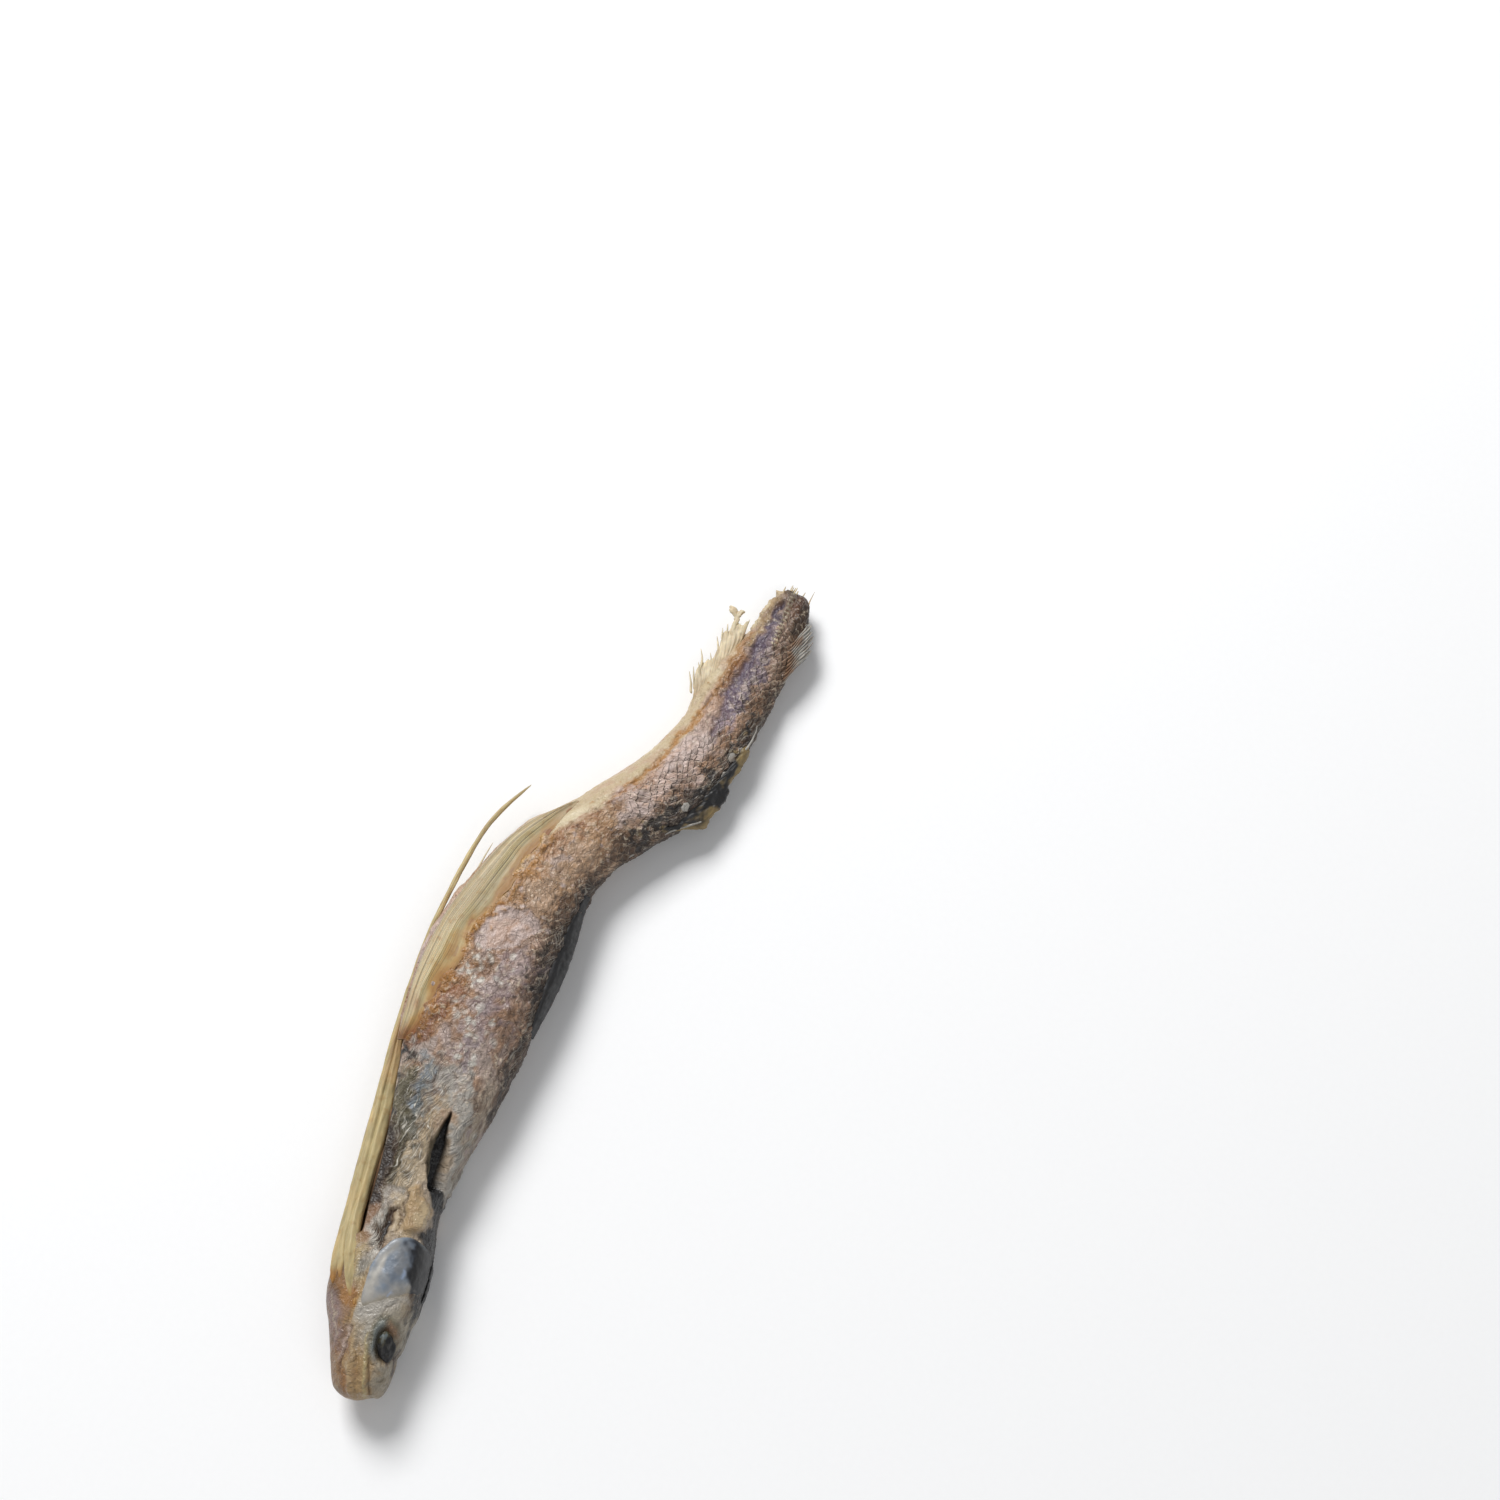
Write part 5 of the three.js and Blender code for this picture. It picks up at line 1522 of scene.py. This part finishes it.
@dataclass(frozen=True)
class Flap:
    """A thin sheet between a root and a ragged edge, with rays from the one to the other.

    Its rows are the root's station, across and height, then the edge's.
    """

    name: str
    rows: tuple
    root: Pigment
    edge: Pigment
    thick: float = 0.3
    rays: int = 12
    ray: float = 0.08
    torn: float = 0.5
    sag: float = 0.0
    gloss: float = 0.3
    rough: float = 0.12
    edge_from: float = 0.35
    lined: float = 0.2
    patchy: float = 1.2
    columns: int = 70
    steps: int = 160

    def shape(self, across: Array, along: Array) -> Array:
        """Places of the grid's points: from the root over the sheet to its edge, and back."""
        values = read_along(self.rows, along)
        over, share = folded(across, 0.5)
        turn = 0 * along
        tear = FINE.layered(along * self.rays * 1.3, turn + 3.3, turn + len(self.name), 2) - 0.5
        reach = share + 1.3 * self.torn * tear * ramp(0.55, 1.0, share)
        station, way, height = (values[i] + reach * (values[i + 3] - values[i]) for i in range(3))
        line = np.abs(np.sin(np.pi * self.rays * (along + 0.03 * np.sin(9 * share))))
        closed = rounded(along, 16)
        half = 0.5 * self.thick * closed * np.sqrt(np.clip(1 - share**10, 0, 1))
        wave = 0.4 * (STREAK.at(along * 6, 2 * share, turn) - 0.5)
        rise = self.sag * np.sin(np.pi * share) + wave * ramp(0.1, 0.8, share)
        up = height + rise + np.where(over, half + self.ray * line * closed * (share < 1), -half)
        return np.column_stack([station, way, up, 6.0 * along, share])

    def build(self, material: bpy.types.Material) -> None:
        """Makes and paints the sheet."""
        sheet = Surface(self.name, self.columns, self.steps, 0.1).lay(self.shape)
        extra = sheet.kept("round")
        spots = sheet.spots()
        cloud, fine = COARSE.over(spots, 1.3, 1.0), FINE.over(spots, 0.5, 0.4, 2)
        sheet.lift(self.rough * fine)
        tint = spots.ground(self.root)
        share = ramp(self.edge_from, self.edge_from + 0.6, extra[:, 1] + self.patchy * cloud)
        tint = stain(tint, self.edge, share)
        line = np.abs(np.sin(np.pi * self.rays * extra[:, 0] / 6.0))
        line = ramp(0.0, 0.5 + 0.7 * self.lined, line) if self.ray else 0 * line + 1
        tint = tint * (1.02 - self.lined + self.lined * line + 0.5 * fine)[:, None]
        sheet.colour(tint, (self.gloss, 0.25, 0.0, 0.0))
        sheet.finish(material)


class GoldenFold:
    """The golden belly fold drawn over the shown flank: a thin horny membrane whose fine rays
    run together at both ends."""

    ROWS = Table((
        (33.4, -6.1, -4.8), (35.4, -6.3, -3.7), (38.1, -6.5, -3.55), (40.3, -6.6, -2.9),
        (42.6, -6.5, -2.25), (45.4, -6.15, -2.2), (47.3, -5.9, -1.45), (49.4, -5.6, -1.15),
        (52.2, -5.3, -1.15), (54.5, -5.1, -1.6), (57, -4.6, -1.65), (59.6, -3.8, -2.3),
        (61.6, -3.1, -2.75),
    ))
    FIRST, LAST = 33.4, 61.6
    OVER, UNDER, OVERHANG = 0.3, 0.75, 0.25
    RAYS = 20
    TURN = 0.72  # share of the columns that lie on top
    COLUMNS, STEPS = 200, 300

    def shape(self, across: Array, along: Array) -> Array:
        """Places of the grid's points: over the fold to its inner edge, and back underneath."""
        station = self.FIRST + (self.LAST - self.FIRST) * along
        outer, inner = (self.ROWS.read(column, station) for column in (1, 2))
        over, share = folded(across, self.TURN)
        torn = FINE.layered(station / 1.1, 0 * station + 5, 0 * station, 3) - 0.5
        reach = share + 0.12 * torn * ramp(0.6, 1.0, share)
        way = outer + reach * (inner - outer)
        draped = np.maximum(way, self.OVERHANG - COURSE.reach(station, way))
        fade = ramp(0.0, 0.1, share) * ramp(1.0, 0.7, share)
        sway = 0.04 * (COARSE.at(along * 4, 3 * share, 0 * share) - 0.5)
        ray = np.abs(np.sin(np.pi * self.RAYS * (share + sway))) ** 0.6
        loose = STREAK.at(share * self.RAYS, along * 3, 0 * along) - 0.5
        folds = COARSE.at(share * 4.5, along * 4, 0 * along + 2) - 0.5
        edge = rounded(share, 8)
        ends = np.sqrt(np.clip(ramp(0, 0.025, along) * ramp(1, 0.93, along), 0, 1))
        top = self.OVER * edge * (0.08 + 0.92 * ramp(1.0, 0.4, share)) * ends
        outside = ramp(0.75, 0.45, share)
        top = top + fade * ends * ((0.08 * ray + 0.06 * loose) * outside + 0.08 * folds)
        lift = np.where(over, top, -self.UNDER * edge * (0.3 + 0.7 * ends))
        width = (inner - outer).mean()
        height = COURSE.roof(station, draped) + lift
        return np.column_stack([station, way, height, share * width, share])

    def build(self, membrane: bpy.types.Material) -> None:
        """Makes and paints the fold."""
        fold = Surface("golden_fold", self.COLUMNS, self.STEPS, 0.1).lay(self.shape)
        share = fold.kept("round")[:, 1]
        spots = fold.spots()
        station = spots.station
        turn = 0 * share
        drawn = STREAK.layered(station / 14.0, share * 24, turn, 2) - 0.5
        broad = STREAK.layered(station / 14.0, share * 7, turn + 4, 2) - 0.5
        cloud = COARSE.over(spots, 2.2, 1.4)
        tint = spots.ground(STRAW)
        tint = stained(
            tint, (CREAM, 0.6 * ramp(0.5, 0.2, share + 0.8 * cloud)), (PALE, 0.5 * ramp(0.04, 0.14, broad)),
            (GOLD, 0.75 * ramp(0.48, 0.75, share + cloud)),
            (OCHRE, 0.75 * ramp(0.66, 0.92, share + 0.7 * cloud)),
        )
        end = ramp(37.2, 34.2, station + 6 * cloud)
        tint = stain(tint, RUST, 0.85 * end)
        tint = stain(tint, CREAM, 0.9 * ramp(56.5, 60.0, station + 3 * cloud))
        amber = ramp(0.55, 0.8, share + 0.5 * cloud) * ramp(45, 48, station)
        amber = amber * ramp(59.5, 56.5, station)
        tint = stain(tint, GOLD, 0.8 * amber)
        tint = stain(tint, OCHRE, 0.7 * amber * ramp(0.7, 0.95, share))
        rust = ramp(0.1, 0.2, FINE.over(spots, 1.0, 0.5, 2))
        tint = stain(tint, RUST, 0.8 * rust * ramp(0.62, 0.95, share))
        lined = 0.3 + 0.9 * ramp(0.8, 0.5, share)
        dim = 0.86 - 0.1 * ramp(45, 48, station) * ramp(60, 57, station)
        tint = np.clip(tint * (dim * (1 + lined * drawn))[:, None], 0, 1)
        fold.lift(0.06 * cloud)
        fold.colour(tint, (0.35, 0.15, 0.0, 0.0))
        fold.finish(membrane)


class BellyMembrane:
    """Thin brown skin between the belly strip and the shown flank's cut edge."""

    FIRST, LAST = 14.5, 34.0
    COLUMNS, STEPS = 60, 200
    STRIP_HEIGHT, BELOW_FLANK, THICK = 3.2, 0.7, 0.14
    STRIP = Table(((14.5, -5.6), (18, -5.8), (24, -5.9), (29, -6.2), (34, -6.7)))

    def shape(self, across: Array, along: Array) -> Array:
        """Places of the grid's points: over the sheet from the strip to the flank, and back."""
        station = self.FIRST + (self.LAST - self.FIRST) * along
        over, share = folded(across, 0.5)
        strip = self.STRIP.read(1, station)
        flank = -Trunk.EDGE.read(1, station) + 0.5
        way = strip + share * (flank - strip)
        sag = 0.5 * np.sin(np.pi * share) ** 0.8
        wave = 0.8 * (STREAK.at(along * 10, share * 5, 0 * share) - 0.5)
        high = COURSE.roof(station, flank) - self.BELOW_FLANK
        height = self.STRIP_HEIGHT + share * (high - self.STRIP_HEIGHT) - sag + wave
        half = 0.5 * self.THICK * rounded(share, 10) * rounded(along, 12)
        thick = np.where(over, half, -half)
        return np.column_stack([station, way, height + thick, share * 2.0, share])

    def build(self, membrane: bpy.types.Material) -> None:
        """Makes and paints the sheet."""
        sheet = Surface("belly_membrane", self.COLUMNS, self.STEPS).lay(self.shape)
        share = sheet.kept("round")[:, 1]
        spots = sheet.spots()
        cloud, drawn = COARSE.over(spots, 2.0, 0.8), STREAK.over(spots, 2.4, 0.3)
        tint = spots.ground(BARK)
        tint = stained(
            tint, (UMBER, 0.7 * ramp(-0.03, 0.15, cloud)), (OLIVE, 0.5 * ramp(0.02, 0.2, -cloud)),
            (SOOT, 0.7 * ramp(0.6, 1.0, share)),
        )
        sheet.colour(tint * (1 + 1.4 * drawn)[:, None], (0.3, 0.15, 0.0, 0.0))
        sheet.finish(membrane)


def belly_strip() -> tuple[Strand, ...]:
    """The grooved strip along the belly: three strands that part at the throat and run into one
    thread beside the golden fold."""
    outer = (
        (9.6, -5.2, 5, 0.5, 0.5), (10.8, -5.3, 4.95, 0.9, 0.6), (12.6, -5.35, 4.75, 1.3, 1),
        (15, -5.35, 4.4, 1.35, 1.2), (18, -5.4, 4.1, 1.45, 1.3), (24, -5.85, 3.6, 1.45, 1.3),
        (29, -6.3, 3.4, 1.2, 1.2), (34, -6.7, 3.4, 0.9, 0.95), (38, -6.95, 3.4, 0.6, 0.7),
        (43, -7.1, 3.35, 0.62, 0.6), (49, -7.3, 3.2, 0.56, 0.5), (55, -8.2, 3, 0.5, 0.42),
        (59.6, -8.15, 3, 0.36, 0.3),
    )
    inner = (
        (8.1, -2.5, 6.15, 0.5, 0.25), (9.4, -3, 6.15, 0.85, 0.45), (11, -3.6, 6.05, 1.15, 0.8),
        (13.4, -4.2, 5.7, 1.3, 1.2), (16, -4.7, 4.9, 1.2, 1.3), (19, -4.9, 4.35, 1.3, 1.35),
        (24, -5.1, 3.95, 1.4, 1.25), (29, -5.5, 3.8, 1.2, 1.1), (33, -6.2, 3.6, 0.9, 0.9),
        (37, -6.8, 3.5, 0.4, 0.5),
    )
    ridge = (
        (10.2, -4.5, 5.5, 0.5, 0.3), (12, -4.8, 5.4, 0.9, 0.6), (14, -5.15, 5, 0.95, 0.95),
        (18, -5.4, 4.5, 1, 1), (24, -5.75, 4.1, 0.8, 0.9), (30, -6.25, 3.9, 0.6, 0.7),
        (36, -6.8, 3.7, 0.4, 0.5),
    )
    straw, rust, horn = STRAW, OCHRE, HORN
    return (
        Strand("belly_strip_outer", outer, straw, rust, ridges=2, ridge=0.07, sides=32,
               steps=300, rough=0.07),
        Strand("belly_strip_inner", inner, straw, rust, horn, ridges=2, ridge=0.08, sides=32,
               steps=200, rough=0.07),
        Strand("belly_strip_ridge", ridge, straw, rust, horn, ridges=1, ridge=0.06, sides=20,
               steps=160, rough=0.06),
    )


def fin_sheets() -> tuple[Flap, ...]:
    """What is left of the fins: anal fin, dorsal flap, black strip on the back, tail fringe."""
    anal = (
        (77, -3.3, 2.9, 80.6, -4.3, 2.5), (78.4, -3.3, 3, 83, -5.5, 2.5),
        (80, -3.2, 3.05, 84.4, -5, 2.55), (81.6, -3.1, 3.1, 86.2, -4.7, 2.6),
        (83.2, -2.9, 3.1, 88.6, -5, 2.6), (84.8, -2.7, 3.1, 90, -4.2, 2.6),
        (86.2, -2.5, 3, 91, -3.2, 2.6),
    )
    dorsal = (
        (64.6, 4.5, 3.5, 65.4, 4.9, 3.2), (66.4, 4.3, 3.6, 68, 5.6, 3.1),
        (68.6, 4.3, 3.5, 70.2, 6.8, 2.7), (70.8, 4.2, 3.4, 72.2, 6.2, 2.7), (73, 4, 3.3, 74.6, 5.1, 2.9),
        (75.2, 3.8, 3.1, 77, 4.8, 2.9), (76.8, 3.4, 3.1, 78.6, 3.8, 2.8),
    )
    strip = (
        (37, 5.9, 4, 37.2, 6.5, 3.5), (40, 6.1, 4.7, 40.2, 7, 3.5), (44, 6.1, 5, 44.2, 7.4, 3.5),
        (48, 5.8, 5, 48.2, 7.2, 3.5), (51.5, 5.4, 4.7, 51.7, 6.4, 3.5), (55, 4.6, 4.3, 55.2, 5.4, 3.5),
    )
    fringe = (
        (86, 3.3, 3.1, 89.4, 4.2, 2.9), (87, 3.1, 3.3, 91, 3.95, 2.9), (88, 2.8, 3.5, 91.9, 3.6, 2.95),
        (89, 2.5, 3.6, 92.6, 3.2, 2.9), (90, 2.2, 3.55, 93.1, 2.7, 2.8),
    )
    return (
        Flap("anal_fin_sheet", anal, CREAM, PALE, rays=14, torn=0.22, thick=0.34, ray=0.04, rough=0.03),
        Flap("dorsal_flap", dorsal, SOOT, KHAKI, rays=10, torn=0.35, thick=0.5,
             sag=0.35, ray=0.1, rough=0.3, gloss=0.0, edge_from=0.55, patchy=2.6),
        Flap("back_black_strip", strip, SOOT, SOOT, torn=0.06, thick=0.7, sag=0.5, ray=0.0, gloss=0.1),
        Flap("tail_fringe_sheet", fringe, BARK, ASH, rays=9, torn=0.4,
             thick=0.16, ray=0.14, rough=0.04, edge_from=0.0, lined=0.6),
    )


def back_pieces() -> tuple[Strand, ...]:
    """Thin strand, bristle and loose scales along the back."""
    pale = (
        (59, 4.45, 3.7, 0.18, 0.2), (62, 4.8, 3.6, 0.24, 0.22), (64.4, 5.05, 3.4, 0.28, 0.25),
        (67.3, 5.2, 3.5, 0.3, 0.25), (70.2, 6.3, 3.4, 0.2, 0.2),
    )
    bristle = (
        (77, 4, 3.45, 0.22, 0.16), (78.3, 3.95, 3.5, 0.24, 0.16), (79.6, 3.75, 3.45, 0.14, 0.12),
        (80.4, 3.4, 3.35, 0.07, 0.07),
    )
    made = [
        Strand("back_pale_strand", pale, ASH, sides=12, steps=80, rough=0.03),
        Strand("back_bristle", bristle, ASH, sides=10, steps=24, rough=0.01),
    ]
    loose = ((76.3, 3.5), (77.3, 3.75), (69.7, 4.3), (74.6, 4.3))
    for number, (station, across) in enumerate(loose):
        rows = tuple(
            (station + 0.45 * step, across - 0.1 * step, 0.12, 0.3 + 0.4 * (step == 0), 0.1)
            for step in (-1, 0, 1)
        )
        made.append(Strand(f"loose_scale_{number}", rows, ASH, sides=20, steps=20, rough=0.01, laid=True))
    return tuple(made)


FRINGE_RAYS, STUMP_FIBRES = 16, 12


def frayed_pieces() -> tuple[Strand, ...]:
    """Ray tips of the anal fin, tail fringe, and torn fibres at the stump and the fold."""
    draw = np.random.default_rng(SEED + 5)
    made = []

    def fibre(name: str, root: tuple, tip: tuple, width: float, pigment: Pigment) -> None:
        """Adds one tapering fibre, a little bent, from root to tip."""
        bend = draw.uniform(-0.2, 0.2, 2)
        middle = [(a + b) / 2 for a, b in zip(root, tip)]
        rows = (
            (*root, width, 0.75 * width),
            (middle[0] + bend[0], middle[1] + bend[1], middle[2], 0.75 * width, 0.6 * width),
            (*tip, 0.22 * width, 0.22 * width),
        )
        made.append(Strand(name, rows, pigment, sides=10, steps=24, rough=0.015))

    tips = ((82.6, -6.1), (83.2, -5.9), (83.9, -5.7), (85.4, -6.3), (85.5, -5.2), (87.6, -5.5),
            (88.8, -5.4), (89.4, -5.1), (90.2, -4.0))
    for number, (station, across) in enumerate(tips):
        foot = (station - 2.4, across + 1.2 + draw.uniform(0, 0.3), 2.6)
        tip = (station, across, 2.6 + draw.uniform(-0.2, 0.4))
        fibre(f"anal_fin_ray_{number}", foot, tip, 0.34, PALE)
    bulb = (
        (86.6, -3.4, 2.7, 0.9, 0.5), (89.2, -4.3, 2.7, 0.5, 0.36), (90.3, -4.5, 2.7, 0.5, 0.36),
        (91, -5, 2.7, 0.95, 0.5), (91.7, -5.6, 2.7, 1.05, 0.5),
    )
    prong = ((90.2, -4.6, 2.7, 0.4, 0.3), (91.0, -4.6, 2.75, 0.6, 0.4), (91.7, -4.4, 2.8, 0.5, 0.3))
    for name, rows in (("anal_fin_bulb", bulb), ("anal_fin_bulb_prong", prong)):
        made.append(Strand(name, rows, PALE, sides=20, steps=50, rough=0.16))
    for number in range(FRINGE_RAYS):
        share = number / (FRINGE_RAYS - 1)
        root = (85.8 + 5.4 * share, 3.35 - 1.1 * share, 2.9)
        tip = (89.8 + 3.6 * share + draw.uniform(-0.3, 0.4), 4.15 - 1.5 * share,
               2.8 + draw.uniform(-0.15, 0.3))
        fibre(f"tail_fringe_ray_{number}", root, tip, 0.28, ASH)
    for number in range(STUMP_FIBRES):
        across = draw.uniform(-1.7, 1.2)
        root = (93.8, 0.8 * across, 2.7)
        tip = (96.4 + draw.uniform(-0.2, 0.7), across - 0.1, 2.6 + draw.uniform(-0.4, 0.5))
        pigment = (STRAW, PALE, CREAM)[number % 3]
        fibre(f"stump_fibre_{number}", root, tip, 0.34, pigment)
    fibre("stump_bristle", (93.8, 2.0, 2.4), (97.2, 1.75, 2.6), 0.2, CREAM)
    for number, (station, across) in enumerate(((53.6, -6.2), (52.4, -6.0))):
        root = (station - 4.6, across + 0.75, 4.0)
        fibre(f"fold_ray_tip_{number}", root, (station, across, 4.0), 0.3, PALE)
    return tuple(made)


class Studio:
    """Pale floor, large soft lights, and the camera at the photograph's viewing angle."""

    CAMERA_MM = (48.17, -44.6, 205.14)
    TILT, TURN = 22.0, 28.0
    LENS, SENSOR, NEAREST = 50.0, 36.0, 0.01
    FLOOR_MM, FLOOR_DROP_MM, TOOTH_MM = 1600.0, 0.02, 0.6
    SKY_COLOUR, SKY_STRENGTH = (0.95, 0.97, 1.0, 1.0), 0.27

    def camera(self) -> None:
        """The camera, over the fish and looking down on it."""
        data = bpy.data.cameras.new("camera")
        data.lens = self.LENS
        data.sensor_width = self.SENSOR
        data.clip_start = self.NEAREST
        camera = bpy.data.objects.new("camera", data)
        camera.location = Vector(self.CAMERA_MM) * MM
        camera.rotation_euler = (math.radians(self.TILT), 0.0, math.radians(self.TURN))
        show(camera)
        bpy.context.scene.camera = camera

    def light(self, name: str, place: tuple, size: float, power: float) -> None:
        """One square area light aimed at the fish, its place in metres."""
        data = bpy.data.lights.new(name, "AREA")
        data.size = size
        data.energy = power
        lamp = bpy.data.objects.new(name, data)
        lamp.location = place
        lamp.rotation_euler = (-Vector(place)).to_track_quat("-Z", "Y").to_euler()
        show(lamp)

    def floor(self) -> None:
        """The pale floor."""
        grid = bmesh.new()
        bmesh.ops.create_grid(grid, x_segments=1, y_segments=1, size=self.FLOOR_MM * MM / 2)
        mesh = bpy.data.meshes.new("floor")
        grid.to_mesh(mesh)
        grid.free()
        n = Nodes("matt_white_card")
        place = n.add("TexCoord", out="Object")
        tooth = n.add("TexNoise", Vector=place, Scale=1 / (self.TOOTH_MM * MM), Detail=2)
        shade = n.add("MapRange", i0=tooth, i3=0.93, i4=0.95)
        colour = n.add("CombineColor", Red=shade, Green=shade, Blue=shade)
        n.join(n.shader, Base_Color=colour, Roughness=0.9)
        mesh.materials.append(n.material)
        floor = bpy.data.objects.new("floor", mesh)
        floor.location.z = -self.FLOOR_DROP_MM * MM
        show(floor)

    def build(self) -> None:
        """Sets up camera, floor, lights and sky."""
        self.camera()
        self.floor()
        self.light("key_light", (-0.38, 0.28, 0.5), 0.3, 4.8)
        self.light("fill_light", (0.45, -0.35, 0.55), 0.6, 1.2)
        world = bpy.data.worlds.new("soft_sky")
        world.use_nodes = True
        sky = world.node_tree.nodes["Background"]
        sky.inputs["Color"].default_value = self.SKY_COLOUR
        sky.inputs["Strength"].default_value = self.SKY_STRENGTH
        bpy.context.scene.world = world
        bpy.context.scene.view_settings.view_transform = "Standard"


def main() -> None:
    """Builds the studio, then every piece of the fish in order."""
    logging.basicConfig(level=logging.INFO, format="%(message)s")
    Studio().build()
    skin = DriedSkin().material()
    membrane = Membrane("dried_fin_membrane").material()
    sinew = Membrane("dried_belly_sinew", ray_mm=0.22, length_mm=7.0, contrast=0.45).material()
    bone = GillBone().material()
    cornea = DriedEye().material()
    Trunk().build(skin)
    Head().build(skin)
    for side in (Side.SHOWN, Side.FAR):
        GillCover(side).build(bone)
    Eye(Side.SHOWN, 0.62).build(cornea)
    Eye(Side.FAR, 0.6).build(cornea)
    GoldenFold().build(membrane)
    BellyMembrane().build(membrane)
    for strand in belly_strip():
        strand.build(sinew)
    for sheet in fin_sheets():
        sheet.build(membrane)
    for strand in back_pieces():
        strand.build(skin)
    for strand in frayed_pieces():
        strand.build(membrane)


if __name__ == "__main__":
    main()
